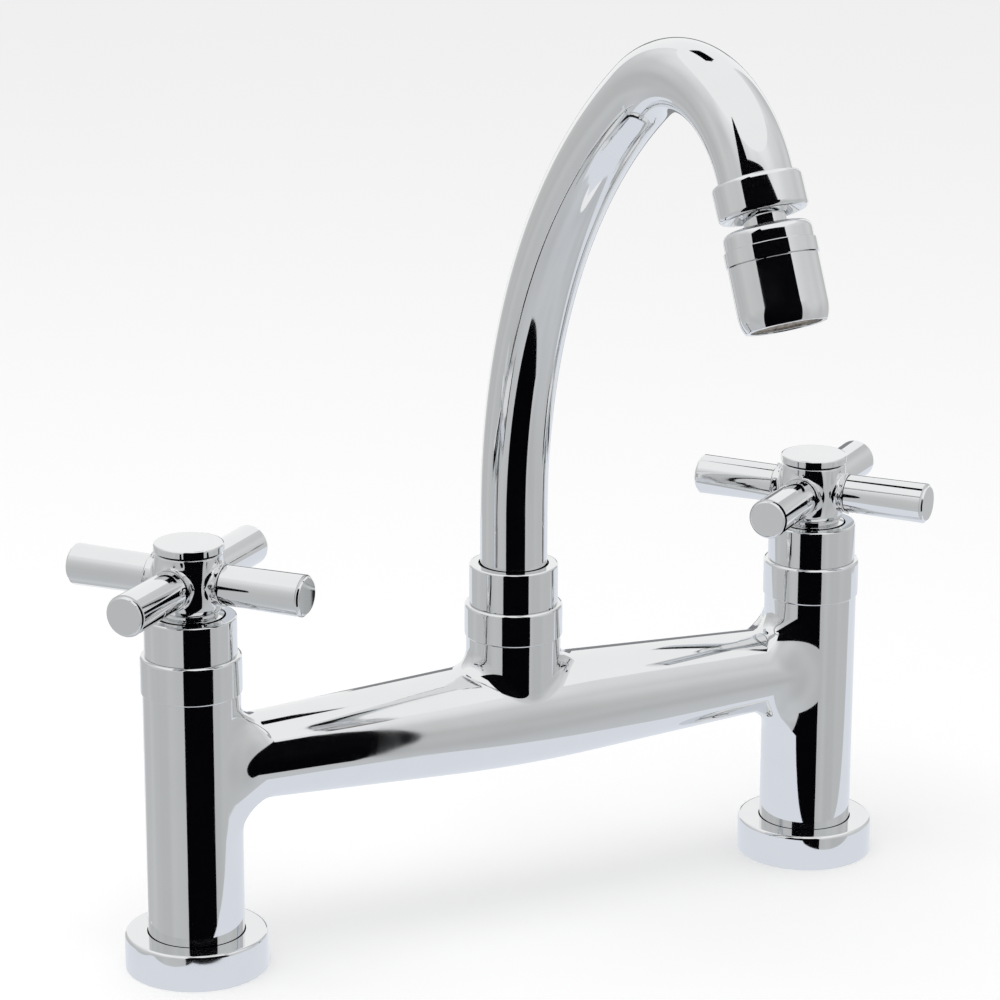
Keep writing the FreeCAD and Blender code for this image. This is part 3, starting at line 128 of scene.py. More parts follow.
class Finish(Nodes):
    """A material with one Principled shader, patterned on Object coordinates in millimetres."""

    def __init__(self, name, **constants):
        self.material = bpy.data.materials.new(name)
        super().__init__(self.material)
        self.shader = self.tree.nodes["Principled BSDF"]
        for socket, value in constants.items():
            self.shader.inputs[socket.replace("_", " ")].default_value = value
        place = self.add("ShaderNodeTexCoord", output="Object")
        self.place = self.add(
            "ShaderNodeMapping", {"vector_type": "POINT"}, {"Vector": place, "Scale": [1 / MM] * 3}
        )

    def noise(self, size, detail=2.0):
        return self.add(
            "ShaderNodeTexNoise",
            None,
            {"Vector": self.place, "Scale": 1 / size, "Detail": detail},
        )

    def tint(self, amount, low, high):
        return self.add(
            "ShaderNodeMix",
            {"data_type": "RGBA"},
            {"Factor": amount, "A": (*low, 1.0), "B": (*high, 1.0)},
            "Result",
        )

    def between(self, value, low, high):
        return self.add(
            "ShaderNodeMapRange",
            {"interpolation_type": "SMOOTHSTEP"},
            {"Value": value, "From Min": low, "From Max": high},
        )

    def bump(self, height, distance):
        return self.add("ShaderNodeBump", None, {"Height": height, "Distance": distance * MM})

    def show(self, colour, roughness, normal):
        fed = (("Base Color", colour), ("Roughness", roughness), ("Normal", normal))
        for socket, value in fed:
            self.feed(self.shader.inputs[socket], value)
        return self.material


HAZE_SIZE = 9.0
SMUDGE_SIZE = 23.0
SMUDGE_START = 0.56
SMUDGE_FULL = 0.72
GRAIN_SIZE = 0.7
CHROME_DULL = (0.785, 0.793, 0.80)
CHROME_BRIGHT = (0.815, 0.822, 0.828)
POLISHED = 0.028
HAZE_ROUGH = 0.022
SMUDGE_ROUGH = 0.05
GRAIN_ROUGH = 0.01


def chrome(name, wave_size, wave_depth):
    """Bright chrome: a cool mirror with a faint haze, smudges and the waves of its polish."""
    finish = Finish(name, Metallic=1.0)
    haze = finish.noise(HAZE_SIZE, detail=3.0)
    smudge = finish.between(finish.noise(SMUDGE_SIZE, detail=4.0), SMUDGE_START, SMUDGE_FULL)
    grain = finish.noise(GRAIN_SIZE)
    colour = finish.tint(haze, CHROME_DULL, CHROME_BRIGHT)
    roughness = POLISHED + HAZE_ROUGH * haze + SMUDGE_ROUGH * smudge + GRAIN_ROUGH * grain
    waves = finish.noise(wave_size, detail=1.0)
    return finish.show(colour, roughness, finish.bump(waves, wave_depth))


CAST_CHROME = chrome("cast_chrome", 17.0, 0.05)


def skin(mesh, rows, closed):
    """Faces between rows of vertices that lie side by side; closed rows end where they start."""
    made = []
    for low, high in zip(rows, rows[1:]):
        for here in range(len(low) if closed else len(low) - 1):
            there = (here + 1) % len(low)
            corners = (low[here], low[there], high[there], high[here])
            distinct = tuple(dict.fromkeys(corners))
            made.append(mesh.faces.new(distinct))
    return made


def finish_piece(name, mesh, finish, node, body, angle=30.0):
    """Makes the object, shades it and lets it stand for its CAD node."""
    bmesh.ops.scale(mesh, vec=Vector((MM, MM, MM)), verts=mesh.verts)
    data = bpy.data.meshes.new(name)
    mesh.to_mesh(data)
    mesh.free()
    data.materials.append(finish)
    data.shade_smooth()
    data.set_sharp_from_angle(angle=math.radians(angle))
    piece = bpy.data.objects.new(name, data)
    bpy.context.scene.collection.objects.link(piece)
    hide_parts(node)
    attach(piece, body)
    return piece


def bar_at(x):
    """The bar's radius at x, and how fast it grows there."""
    if abs(x) < BAR_BELLY:
        height = math.sqrt(BELLY_ARC**2 - x**2)
        return BELLY_EDGE + height - math.sqrt(BELLY_ARC**2 - BAR_BELLY**2), -x / height
    return BELLY_EDGE - TAPER * (abs(x) - BAR_BELLY), -math.copysign(TAPER, x)


def on_bar(x, turn):
    """A point of the bar and its normal; turn is round the bar's axis, from straight up."""
    radius, slope = bar_at(x)
    out = Vector((0, math.sin(turn), math.cos(turn)))
    normal = (out - Vector((slope, 0, 0))).normalized()
    return Vector((x, 0, BAR_HEIGHT)) + radius * out, normal


def on_post(x, radius, turn, height):
    """A point of an upright cylinder and its normal; turn is from +X towards +Y."""
    out = Vector((math.cos(turn), math.sin(turn), 0))
    return Vector((x, 0, height)) + radius * out, out


casting = bmesh.new()
casting_normals = {}


def cast(point, normal):
    """A vertex of the casting, with the normal that its polished surface has there."""
    vertex = casting.verts.new(point)
    casting_normals[vertex] = normal
    return vertex


def rolled(centre, start, end, radius, steps):
    """Vertices on the fillet that a ball at centre leaves between two surfaces."""
    first, last = (start - centre).normalized(), (end - centre).normalized()
    sweep = first.angle(last)
    made = []
    for step in range(1, steps):
        share = step / steps
        way = (
            math.sin((1 - share) * sweep) * first + math.sin(share * sweep) * last
        ) / math.sin(sweep)
        made.append(cast(centre + radius * way, -way))
    return made


def bar_fillet(turn):
    """The fillet's radius at a turn round the bar: tight above, easy below, easiest beside."""
    upright = FILLET_ABOVE if math.cos(turn) > 0 else FILLET_BELOW
    return upright + (FILLET_BESIDE - upright) * math.sin(turn) ** 4


ROUND = 144
EIGHTH = ROUND // 8
FILLET_STEPS = 10
PATCH_STEPS = 7
BAR_STEPS = 30
SADDLE = 30.0
SADDLE_STEPS = 36
PATCH_FOOT = 34.0
PATCH_TOP = 82.0
SETTLE_STEPS = 12
RIM_BAND = 0.3
FOOT_BAND = 9
BOSS_BAND = 1.6
HEADWORK_BORE = 10.25
HEADWORK_SEAT = 50.0
INLET_BORE = 9.32
INLET_ROOF = 19.0
WATERWAY = 6.5
WATERWAY_TOP_END = 34.0
WATERWAY_FOOT_END = 33.0
BORE_STEPS = 72
COLLAR_THREAD = 11.95
COLLAR_SEAT = 73.0
SPIGOT_BORE = 9.96
SPIGOT_FLOOR = 66.8
MERGE = 0.0001


def post_fillet(x, side):
    """The ball's centres round the bar, and where it touches the bar and the post."""
    centres, bar_x, bar_turns = [], [], []
    for index in range(ROUND):
        turn = 2 * math.pi * index / ROUND
        fillet = bar_fillet(turn)
        reach = POST_RADIUS + fillet
        contact = x - side * reach
        for _ in range(SETTLE_STEPS):
            point, normal = on_bar(contact, turn)
            ball = point + fillet * normal
            wanted = x - side * math.sqrt(reach**2 - ball.y**2)
            contact += wanted - ball.x
        centres.append(ball)
        bar_x.append(contact)
        bar_turns.append(turn)
    return centres, bar_x, bar_turns


def bore_ring(x, radius, height, count, facing):
    """A ring of an inner wall; facing is its normal's sideways and upward parts."""
    ring = []
    for index in range(count):
        point, out = on_post(x, radius, 2 * math.pi * index / count, height)
        ring.append(cast(point, (facing[0] * out + Vector((0, 0, facing[1]))).normalized()))
    return ring


def closed_end(x, rings, count):
    """Walls inside an upright cylinder, from rings of (radius, height), ending in a disc."""
    towards_mouth = (0, 1 if rings[0][1] > rings[-1][1] else -1)
    for (low_radius, low), (high_radius, high) in zip(rings, rings[1:]):
        facing = (-1, 0) if low_radius == high_radius else towards_mouth
        pair = [
            bore_ring(x, low_radius, low, count, facing),
            bore_ring(x, high_radius, high, count, facing),
        ]
        skin(casting, pair, True)
    casting.faces.new(bore_ring(x, rings[-1][0], rings[-1][1], count, towards_mouth))


saddle_edges = {}
for name, x in POSTS.items():
    side = math.copysign(1, x)
    centres, bar_x, bar_turns = post_fillet(x, side)
    touch_bar, fillet_rows, touch_post, holes = [], [[] for _ in range(FILLET_STEPS - 1)], [], []
    for centre, contact, turn in zip(centres, bar_x, bar_turns):
        bar_point, bar_normal = on_bar(contact, turn)
        heading = math.atan2(centre.y, centre.x - x)
        post_point, post_normal = on_post(x, POST_RADIUS, heading, centre.z)
        touch_bar.append(cast(bar_point, bar_normal))
        touch_post.append(cast(post_point, post_normal))
        for row, vertex in zip(
            fillet_rows,
            rolled(centre, bar_point, post_point, bar_fillet(turn), FILLET_STEPS),
        ):
            row.append(vertex)
        holes.append((math.atan2(centre.y, -side * (centre.x - x)), centre.z))
    skin(casting, [touch_bar, *fillet_rows, touch_post], True)

    edge = []
    for index in range(ROUND):
        lap = index % ROUND
        if lap <= EIGHTH:
            edge.append((math.pi / 2 * lap / EIGHTH, PATCH_TOP))
        elif lap <= 3 * EIGHTH:
            down = (lap - EIGHTH) / (2 * EIGHTH)
            edge.append((math.pi / 2, PATCH_TOP + (PATCH_FOOT - PATCH_TOP) * down))
        elif lap <= 5 * EIGHTH:
            edge.append((math.pi / 2 * (4 * EIGHTH - lap) / EIGHTH, PATCH_FOOT))
        elif lap <= 7 * EIGHTH:
            up = (lap - 5 * EIGHTH) / (2 * EIGHTH)
            edge.append((-math.pi / 2, PATCH_FOOT + (PATCH_TOP - PATCH_FOOT) * up))
        else:
            edge.append((math.pi / 2 * (lap - 8 * EIGHTH) / EIGHTH, PATCH_TOP))

    def post_vertex(turn, height):
        heading = math.pi - turn if side > 0 else turn
        return cast(*on_post(x, POST_RADIUS, heading, height))

    patch = [touch_post]
    for step in range(1, PATCH_STEPS + 1):
        share = step / PATCH_STEPS
        patch.append(
            [
                post_vertex(
                    hole[0] + (rim[0] - hole[0]) * share, hole[1] + (rim[1] - hole[1]) * share
                )
                for hole, rim in zip(holes, edge)
            ]
        )
    skin(casting, patch, True)

    rim = patch[-1]
    side_steps = 2 * EIGHTH
    right_side = [rim[EIGHTH + step] for step in range(side_steps + 1)]
    left_side = [rim[(7 * EIGHTH - step) % ROUND] for step in range(side_steps + 1)]
    turns = [math.pi / 2 + math.pi * step / side_steps for step in range(1, side_steps)]
    back_rows = []
    for step in range(side_steps + 1):
        height = PATCH_TOP + (PATCH_FOOT - PATCH_TOP) * step / side_steps
        middle = [post_vertex(turn, height) for turn in turns]
        back_rows.append([right_side[step], *middle, left_side[step]])
    skin(casting, back_rows, False)

    top_ring = back_rows[0] + [rim[(7 * EIGHTH + step) % ROUND] for step in range(1, 2 * EIGHTH)]
    foot_ring = back_rows[-1] + [rim[5 * EIGHTH - step] for step in range(1, 2 * EIGHTH)]
    ring_turns = [math.pi / 2 + math.pi * step / side_steps for step in range(2 * side_steps)]
    for start, levels in (
        (top_ring, [POST_TOP - RIM_BAND, POST_TOP]),
        (foot_ring, [PATCH_FOOT - FOOT_BAND * step for step in range(1, 4)] + [POST_FOOT]),
    ):
        rows = [start] + [[post_vertex(turn, level) for turn in ring_turns] for level in levels]
        skin(casting, rows, True)
        up = 1 if levels[-1] > BAR_HEIGHT else -1
        rims = []
        for radius in (POST_RADIUS, HEADWORK_BORE if up > 0 else INLET_BORE):
            ring = []
            for turn in ring_turns:
                heading = math.pi - turn if side > 0 else turn
                ring.append(cast(on_post(x, radius, heading, levels[-1])[0], Vector((0, 0, up))))
            rims.append(ring)
        skin(casting, rims, True)
    closed_end(
        x,
        [
            (HEADWORK_BORE, POST_TOP),
            (HEADWORK_BORE, HEADWORK_SEAT),
            (WATERWAY, HEADWORK_SEAT),
            (WATERWAY, WATERWAY_TOP_END),
        ],
        BORE_STEPS,
    )
    closed_end(
        x,
        [
            (INLET_BORE, POST_FOOT),
            (INLET_BORE, INLET_ROOF),
            (WATERWAY, INLET_ROOF),
            (WATERWAY, WATERWAY_FOOT_END),
        ],
        BORE_STEPS,
    )

    start_row = [cast(*on_bar(side * SADDLE, turn)) for turn in bar_turns]
    rows = [start_row]
    for step in range(1, BAR_STEPS):
        share = step / BAR_STEPS
        rows.append(
            [
                cast(*on_bar(side * SADDLE + (contact - side * SADDLE) * share, turn))
                for contact, turn in zip(bar_x, bar_turns)
            ]
        )
    skin(casting, rows + [touch_bar], True)
    saddle_edges[name] = start_row

QUARTER = ROUND // 4
under_rows = [saddle_edges["left"][QUARTER : 3 * QUARTER + 1]]
for step in range(1, SADDLE_STEPS):
    x = SADDLE * (2 * step / SADDLE_STEPS - 1)
    turns = [2 * math.pi * index / ROUND for index in range(QUARTER, 3 * QUARTER + 1)]
    under_rows.append([cast(*on_bar(x, turn)) for turn in turns])
under_rows.append(saddle_edges["right"][QUARTER : 3 * QUARTER + 1])
skin(casting, under_rows, False)

saddle_rim = (
    [saddle_edges["right"][step] for step in range(QUARTER)]
    + [under_rows[SADDLE_STEPS - step][0] for step in range(SADDLE_STEPS)]
    + [saddle_edges["left"][QUARTER - step] for step in range(QUARTER)]
    + [saddle_edges["left"][-step % ROUND] for step in range(QUARTER)]
    + [under_rows[step][-1] for step in range(SADDLE_STEPS)]
    + [saddle_edges["right"][(3 * QUARTER + step) % ROUND] for step in range(QUARTER)]
)
rim_places = (
    [(SADDLE, step / QUARTER) for step in range(QUARTER)]
    + [(SADDLE * (1 - 2 * step / SADDLE_STEPS), 1.0) for step in range(SADDLE_STEPS)]
    + [(-SADDLE, 1 - step / QUARTER) for step in range(QUARTER)]
    + [(-SADDLE, -step / QUARTER) for step in range(QUARTER)]
    + [(SADDLE * (2 * step / SADDLE_STEPS - 1), -1.0) for step in range(SADDLE_STEPS)]
    + [(SADDLE, step / QUARTER - 1) for step in range(QUARTER)]
)
count = len(saddle_rim)
boss_touch, boss_rows, bar_touch, bar_places = [], [[] for _ in range(FILLET_STEPS - 1)], [], []
for index in range(count):
    turn = 2 * math.pi * index / count
    reach = BOSS_RADIUS + BOSS_FILLET
    ball_x, ball_y = reach * math.cos(turn), reach * math.sin(turn)
    contact = ball_x
    for _ in range(SETTLE_STEPS):
        radius, slope = bar_at(contact)
        steep = math.hypot(1, slope)
        contact = ball_x + BOSS_FILLET * slope / steep
    out = radius + BOSS_FILLET / steep
    centre = Vector((ball_x, ball_y, BAR_HEIGHT + math.sqrt(out**2 - ball_y**2)))
    bar_turn = math.atan2(ball_y, centre.z - BAR_HEIGHT)
    bar_point, bar_normal = on_bar(contact, bar_turn)
    boss_point, boss_normal = on_post(0, BOSS_RADIUS, turn, centre.z)
    bar_touch.append(cast(bar_point, bar_normal))
    boss_touch.append(cast(boss_point, boss_normal))
    bar_places.append((contact, bar_turn))
    fillet_line = rolled(centre, bar_point, boss_point, BOSS_FILLET, FILLET_STEPS)
    for row, vertex in zip(boss_rows, fillet_line):
        row.append(vertex)
skin(casting, [bar_touch, *boss_rows, boss_touch], True)
saddle = [bar_touch]
for step in range(1, PATCH_STEPS):
    share = step / PATCH_STEPS
    saddle.append(
        [
            cast(
                *on_bar(
                    place[0] + (rim[0] - place[0]) * share,
                    place[1] + (rim[1] * math.pi / 2 - place[1]) * share,
                )
            )
            for place, rim in zip(bar_places, rim_places)
        ]
    )
skin(casting, saddle + [saddle_rim], True)
boss_levels = [
    [
        cast(*on_post(0, BOSS_RADIUS, 2 * math.pi * index / count, height))
        for index in range(count)
    ]
    for height in (BOSS_TOP - BOSS_BAND, BOSS_TOP)
]
skin(casting, [boss_touch, *boss_levels], True)
skin(
    casting,
    [bore_ring(0, radius, BOSS_TOP, count, (0, 1)) for radius in (BOSS_RADIUS, COLLAR_THREAD)],
    True,
)
closed_end(
    0,
    [
        (COLLAR_THREAD, BOSS_TOP),
        (COLLAR_THREAD, COLLAR_SEAT),
        (SPIGOT_BORE, COLLAR_SEAT),
        (SPIGOT_BORE, SPIGOT_FLOOR),
    ],
    count,
)

polish = casting.loops.layers.float_vector.new("polish")
for face in casting.faces:
    for corner in face.loops:
        corner[polish] = casting_normals[corner.vert]
bmesh.ops.remove_doubles(casting, verts=casting.verts, dist=MERGE)
bmesh.ops.recalc_face_normals(casting, faces=casting.faces)
bridge = finish_piece(
    "bridge_casting", casting, CAST_CHROME, "bridge_body", "tap_body", angle=180
)
facings = [Vector(corner.vector) for corner in bridge.data.attributes["polish"].data]
bridge.data.attributes.remove(bridge.data.attributes["polish"])
bridge.data.normals_split_custom_set(facings)

# ---------------------------------------------------------------------------------------------
# Base flanges: brass rings turned on a lathe, polished and chromed. Each lies on the deck with
# its floor under a post's foot, so a fine dark line shows between the two.
# ---------------------------------------------------------------------------------------------

TURNED_CHROME = chrome("turned_chrome", 26.0, 0.012)
SPIN_STEPS = 96
ROUND_STEPS = 6
SEAT_GAP = 0.05
FLANGE_RADIUS = 20.5
FLANGE_HEIGHT = 10.8
FLANGE_FOOT_ROUND = 0.6
FLANGE_TOP_ROUND = 1.0
FLANGE_BORE = POST_RADIUS + 0.3
FLOOR_HOLE = 10.9
SEAL_INSIDE = 13.0
SEAL_OUTSIDE = 17.5
SEAL_TOP = 2.05


def even_walls(piece):
    """Weighted normals, which keep flat walls flat beside their roundings."""
    weighted = piece.modifiers.new("even_walls", "WEIGHTED_NORMAL")
    weighted.keep_sharp = True
    weighted.weight = 90


def turned(name, outline, finish, node, body, place=Matrix()):
    """A turned piece, spun from an outline of (radius, height) or (radius, height, rounding)."""
    mesh = bmesh.new()
    corners = [mesh.verts.new((point[0], 0, point[1])) for point in outline]
    for first, second in zip(corners, corners[1:]):
        mesh.edges.new((first, second))
    if outline[0][0] or outline[-1][0]:
        mesh.edges.new((corners[-1], corners[0]))
    for corner, point in zip(corners, outline):
        if len(point) > 2:
            bmesh.ops.bevel(
                mesh,
                geom=[corner],
                offset=point[2],
                offset_type="OFFSET",
                segments=ROUND_STEPS,
                profile=0.5,
                affect="VERTICES",
                material=-1,
            )
    bmesh.ops.spin(
        mesh,
        geom=mesh.verts[:] + mesh.edges[:],
        cent=(0, 0, 0),
        axis=(0, 0, 1),
        angle=2 * math.pi,
        steps=SPIN_STEPS,
        use_merge=True,
    )
    bmesh.ops.remove_doubles(mesh, verts=mesh.verts, dist=MERGE)
    bmesh.ops.recalc_face_normals(mesh, faces=mesh.faces)
    bmesh.ops.transform(mesh, matrix=place, verts=mesh.verts)
    even_walls(finish_piece(name, mesh, finish, node, body))


def at_post(side):
    return Matrix.Translation((POSTS[side], 0, 0))


for side in POSTS:
    turned(
        f"{side}_flange",
        [
            (FLOOR_HOLE, 0),
            (SEAL_INSIDE, 0),
            (SEAL_INSIDE, SEAL_TOP),
            (SEAL_OUTSIDE, SEAL_TOP),
            (SEAL_OUTSIDE, 0),
            (FLANGE_RADIUS, 0, FLANGE_FOOT_ROUND),
            (FLANGE_RADIUS, FLANGE_HEIGHT, FLANGE_TOP_ROUND),
            (FLANGE_BORE, FLANGE_HEIGHT),
            (FLANGE_BORE, POST_FOOT - SEAT_GAP),
            (FLOOR_HOLE, POST_FOOT - SEAT_GAP),
        ],
        TURNED_CHROME,
        f"{side}_base_flange",
        "tap_body",
        at_post(side),
    )

# ---------------------------------------------------------------------------------------------
# Shrouds: a wide ring stands on each post and a narrower sleeve is screwed down on it. Both are
# turned and chromed brass, and between them they hide the valve's hexagon.
# ---------------------------------------------------------------------------------------------

RING_STAND = 0.5
RING_TOP = 94.1
SLEEVE_TOP = 105.5
SLEEVE_RADIUS = 13.1
SKIRT_RADIUS = 12.5
HEX_TOP = 88.55
HEX_CLEARANCE = 0.6
SLEEVE_BORE = 11.55
MOUTH_RADIUS = 10.1
MOUTH_FLOOR = SLEEVE_TOP - 2.8
GRIP_RADIUS = 8.05
GRIP_TOP = 98.0
GRIP_FOOT = 95.0
TOP_ROUND = 0.6
RING_ROUND = 0.9

for side in POSTS:
    turned(
        f"{side}_ring",
        [
            (SKIRT_RADIUS + SEAT_GAP, POST_TOP + SEAT_GAP),
            (POST_RADIUS + RING_STAND, POST_TOP + SEAT_GAP, RING_STAND),
            (POST_RADIUS + RING_STAND, RING_TOP, RING_ROUND),
            (SKIRT_RADIUS + SEAT_GAP, RING_TOP),
        ],
        TURNED_CHROME,
        f"{side}_shroud_ring",
        "tap_body",
        at_post(side),
    )
    turned(
        f"{side}_sleeve",
        [
            (SLEEVE_BORE, HEX_TOP + HEX_CLEARANCE),
            (SKIRT_RADIUS, HEX_TOP + HEX_CLEARANCE),
            (SKIRT_RADIUS, RING_TOP + SEAT_GAP),
            (SLEEVE_RADIUS, RING_TOP + SEAT_GAP),
            (SLEEVE_RADIUS, SLEEVE_TOP, TOP_ROUND),
            (MOUTH_RADIUS, SLEEVE_TOP),
            (MOUTH_RADIUS, MOUTH_FLOOR),
            (SLEEVE_BORE, MOUTH_FLOOR),
            (SLEEVE_BORE, GRIP_TOP),
            (GRIP_RADIUS, GRIP_TOP),
            (GRIP_RADIUS, GRIP_FOOT),
            (SLEEVE_BORE, GRIP_FOOT),
        ],
        TURNED_CHROME,
        f"{side}_shroud_sleeve",
        "tap_body",
        at_post(side),
    )

# ---------------------------------------------------------------------------------------------
# Cross handles: a forged hub runs softly into four short bosses, a round arm is screwed into each
# boss and a plain cap pressed into the top. All are chromed brass; a joint line shows at each arm.
# ---------------------------------------------------------------------------------------------

HANDLE_TURNS = {"left": 39.0, "right": 37.0}
ARM_HEIGHT = 115.8
HUB_FOOT = 103.4
ARM_ROOT = 11.75
ARM_REACH = 36.7
ARM_ROOT_RADIUS = 5.7
ARM_END_RADIUS = 5.95
ARM_ROUND = 0.9
TENON_START = 7.8
TENON_RADIUS = 2.9
CAP_FOOT = 124.7
CAP_TOP = 126.8
CAP_RADIUS = 9.9
PLUG_RADIUS = 6.55
PLUG_FOOT = CAP_FOOT - 2.8


def spun(mesh, outline, place, steps=SPIN_STEPS):
    """Spins an outline of (radius, height) into a mesh that may hold other shells already."""
    before = set(mesh.verts)
    corners = [mesh.verts.new((radius, 0, height)) for radius, height in outline]
    edges = [mesh.edges.new(pair) for pair in zip(corners, corners[1:])]
    bmesh.ops.spin(
        mesh,
        geom=corners + edges,
        cent=(0, 0, 0),
        axis=(0, 0, 1),
        angle=2 * math.pi,
        steps=steps,
        use_merge=True,
    )
    made = [vertex for vertex in mesh.verts if vertex not in before]
    bmesh.ops.remove_doubles(mesh, verts=made, dist=MERGE)
    made = [vertex for vertex in mesh.verts if vertex not in before]
    bmesh.ops.transform(mesh, matrix=place, verts=made)


def arc(start, end, radius, steps):
    """Points between two outline points on an arc that bows to the left of the way."""
    first, last = Vector(start), Vector(end)
    chord = last - first
    side = Vector((-chord.y, chord.x)).normalized()
    drop = math.sqrt(radius**2 - chord.length_squared / 4)
    centre = (first + last) / 2 - side * drop
    half_angle = math.asin(chord.length / 2 / radius)
    spoke = first - centre
    points = []
    for step in range(1, steps):
        turn = -2 * half_angle * step / steps
        points.append(tuple(centre + Matrix.Rotation(turn, 2) @ spoke))
    return points


HUB_BAND = 4.8
HUB_COLUMN = 3.8
HUB_CENTRE = 0.5
BOSS_ANGLE = 0.45
HUB_ROWS = (
    (8.3, -9.3),
    (9.5, -8.1),
    (9.9, -HUB_BAND),
    (9.9, 0),
    (9.9, HUB_BAND),
    (9.9, 8.1),
    (9.9, 8.6),
)
HUB_COLUMNS = 16
HUB_CONTROL = 9.9
HUB_SWELL = 0.55
HUB_ROUNDING = 3
HUB_SKIRT = (
    (0, HUB_FOOT),
    (9.5, HUB_FOOT),
    (9.6, SLEEVE_TOP + 0.3),
    (8.2, SLEEVE_TOP + 0.9),
    (8.0, SLEEVE_TOP + 3.0),
    (0, SLEEVE_TOP + 3.0),
)
BOSS_STAGES = ((None, 6.0), (10.7, 6.45), (11.35, 6.75), (11.6, 6.65), (11.6, 6.1))


def hub_cage():
    """The hub's body with its four bosses drawn out of it, coarse, to be rounded afterwards."""
    cage = bmesh.new()
    first_radius, first_level = HUB_ROWS[0]
    made = bmesh.ops.create_circle(
        cage,
        segments=HUB_COLUMNS,
        radius=first_radius,
        matrix=Matrix.Translation((0, 0, first_level)),
        cap_ends=True,
    )["verts"]
    ring = list({edge for vertex in made for edge in vertex.link_edges})
    for radius, level in HUB_ROWS[1:]:
        grown = bmesh.ops.extrude_edge_only(cage, edges=ring)["geom"]
        for vertex in (part for part in grown if isinstance(part, bmesh.types.BMVert)):
            flat = vertex.co.xy.normalized() * radius
            if abs(level) <= HUB_BAND and math.isclose(abs(flat.x), abs(flat.y), abs_tol=0.01):
                flat += flat.normalized() * HUB_SWELL
            vertex.co = (flat.x, flat.y, level)
        ring = [part for part in grown if isinstance(part, bmesh.types.BMEdge)]
    bmesh.ops.contextual_create(cage, geom=ring)
    bmesh.ops.recalc_face_normals(cage, faces=cage.faces)
    for quarter in range(4):
        along = Vector((math.cos(quarter * math.pi / 2), math.sin(quarter * math.pi / 2), 0))
        across = Vector((-along.y, along.x, 0))
        patch = []
        for face in cage.faces:
            middle = face.calc_center_median()
            near = middle.xy.length and along.dot(middle) / middle.length > math.cos(BOSS_ANGLE)
            if len(face.verts) == 4 and near and abs(middle.z) < HUB_BAND:
                patch.append(face)
        corners = {vertex for face in patch for vertex in face.verts}
        for reach, radius in BOSS_STAGES:
            if reach:
                grown = bmesh.ops.extrude_face_region(cage, geom=patch)["geom"]
                spent = [face for face in patch if face.is_valid]
                bmesh.ops.delete(cage, geom=spent, context="FACES_ONLY")
                patch = [part for part in grown if isinstance(part, bmesh.types.BMFace)]
                corners = {part for part in grown if isinstance(part, bmesh.types.BMVert)}
            for vertex in corners:
                side, level = across.dot(vertex.co), vertex.co.z
                if max(abs(side), abs(level)) > HUB_CENTRE:
                    octant = math.pi / 4
                    turn = octant * round(math.atan2(level / HUB_BAND, side / HUB_COLUMN) / octant)
                    side = radius * math.cos(turn)
                    level = radius * math.sin(turn)
                else:
                    side, level = 0, 0
                depth = reach or math.sqrt(HUB_CONTROL**2 - side**2)
                vertex.co = along * depth + across * side + Vector((0, 0, level))
    bmesh.ops.recalc_face_normals(cage, faces=cage.faces)
    return cage


def rounded(name, cage, levels):
    """The cage rounded by subdivision, as a mesh of its own."""
    data = bpy.data.meshes.new(name)
    cage.to_mesh(data)
    cage.free()
    coarse = bpy.data.objects.new(name, data)
    bpy.context.scene.collection.objects.link(coarse)
    smooth = coarse.modifiers.new("rounding", "SUBSURF")
    smooth.levels = levels
    smooth.render_levels = levels
    bpy.context.view_layer.update()
    ready = coarse.evaluated_get(bpy.context.evaluated_depsgraph_get())
    mesh = bmesh.new()
    mesh.from_mesh(ready.to_mesh())
    bpy.data.objects.remove(coarse)
    return mesh


for side in POSTS:
    turn = Matrix.Rotation(math.radians(HANDLE_TURNS[side]), 4, "Z")
    hub = rounded(f"{side}_hub_cage", hub_cage(), HUB_ROUNDING)
    bmesh.ops.translate(hub, vec=(0, 0, ARM_HEIGHT), verts=hub.verts)
    spun(hub, HUB_SKIRT, Matrix())
    bmesh.ops.recalc_face_normals(hub, faces=hub.faces)
    bmesh.ops.transform(hub, matrix=at_post(side) @ turn, verts=hub.verts)
    finish_piece(
        f"{side}_hub",
        hub,
        TURNED_CHROME,
        f"{side}_handle_hub",
        f"{side}_handle",
        angle=40,
    )

    arms = bmesh.new()
    arm_side = (ARM_END_RADIUS, ARM_REACH - ARM_ROUND)
    arm_end = (ARM_END_RADIUS - ARM_ROUND, ARM_REACH)
    for quarter in range(4):
        spun(
            arms,
            [
                (0, TENON_START),
                (TENON_RADIUS, TENON_START),
                (TENON_RADIUS, ARM_ROOT),
                (ARM_ROOT_RADIUS, ARM_ROOT),
                arm_side,
                *arc(arm_side, arm_end, ARM_ROUND, ROUND_STEPS),
                arm_end,
                (0, ARM_REACH),
            ],
            at_post(side)
            @ Matrix.Translation((0, 0, ARM_HEIGHT))
            @ Matrix.Rotation(math.radians(HANDLE_TURNS[side] + 90 * quarter), 4, "Z")
            @ Matrix.Rotation(math.pi / 2, 4, "Y"),
        )
    bmesh.ops.recalc_face_normals(arms, faces=arms.faces)
    even_walls(
        finish_piece(
            f"{side}_arms", arms, TURNED_CHROME, f"{side}_handle_arms", f"{side}_handle"
        )
    )

    turned(
        f"{side}_cap",
        [
            (0, PLUG_FOOT),
            (PLUG_RADIUS, PLUG_FOOT),
            (PLUG_RADIUS, CAP_FOOT),
            (CAP_RADIUS, CAP_FOOT),
            (CAP_RADIUS, CAP_TOP, TOP_ROUND),
            (0, CAP_TOP),
        ],
        TURNED_CHROME,
        f"{side}_index_cap",
        f"{side}_handle",
        at_post(side),
    )

# ---------------------------------------------------------------------------------------------
# Spout joint: a trim ring is clamped on the boss by a collar that screws down into it, and the
# spout's tube turns in the collar's mouth. Both rings are turned and chromed brass.
# ---------------------------------------------------------------------------------------------

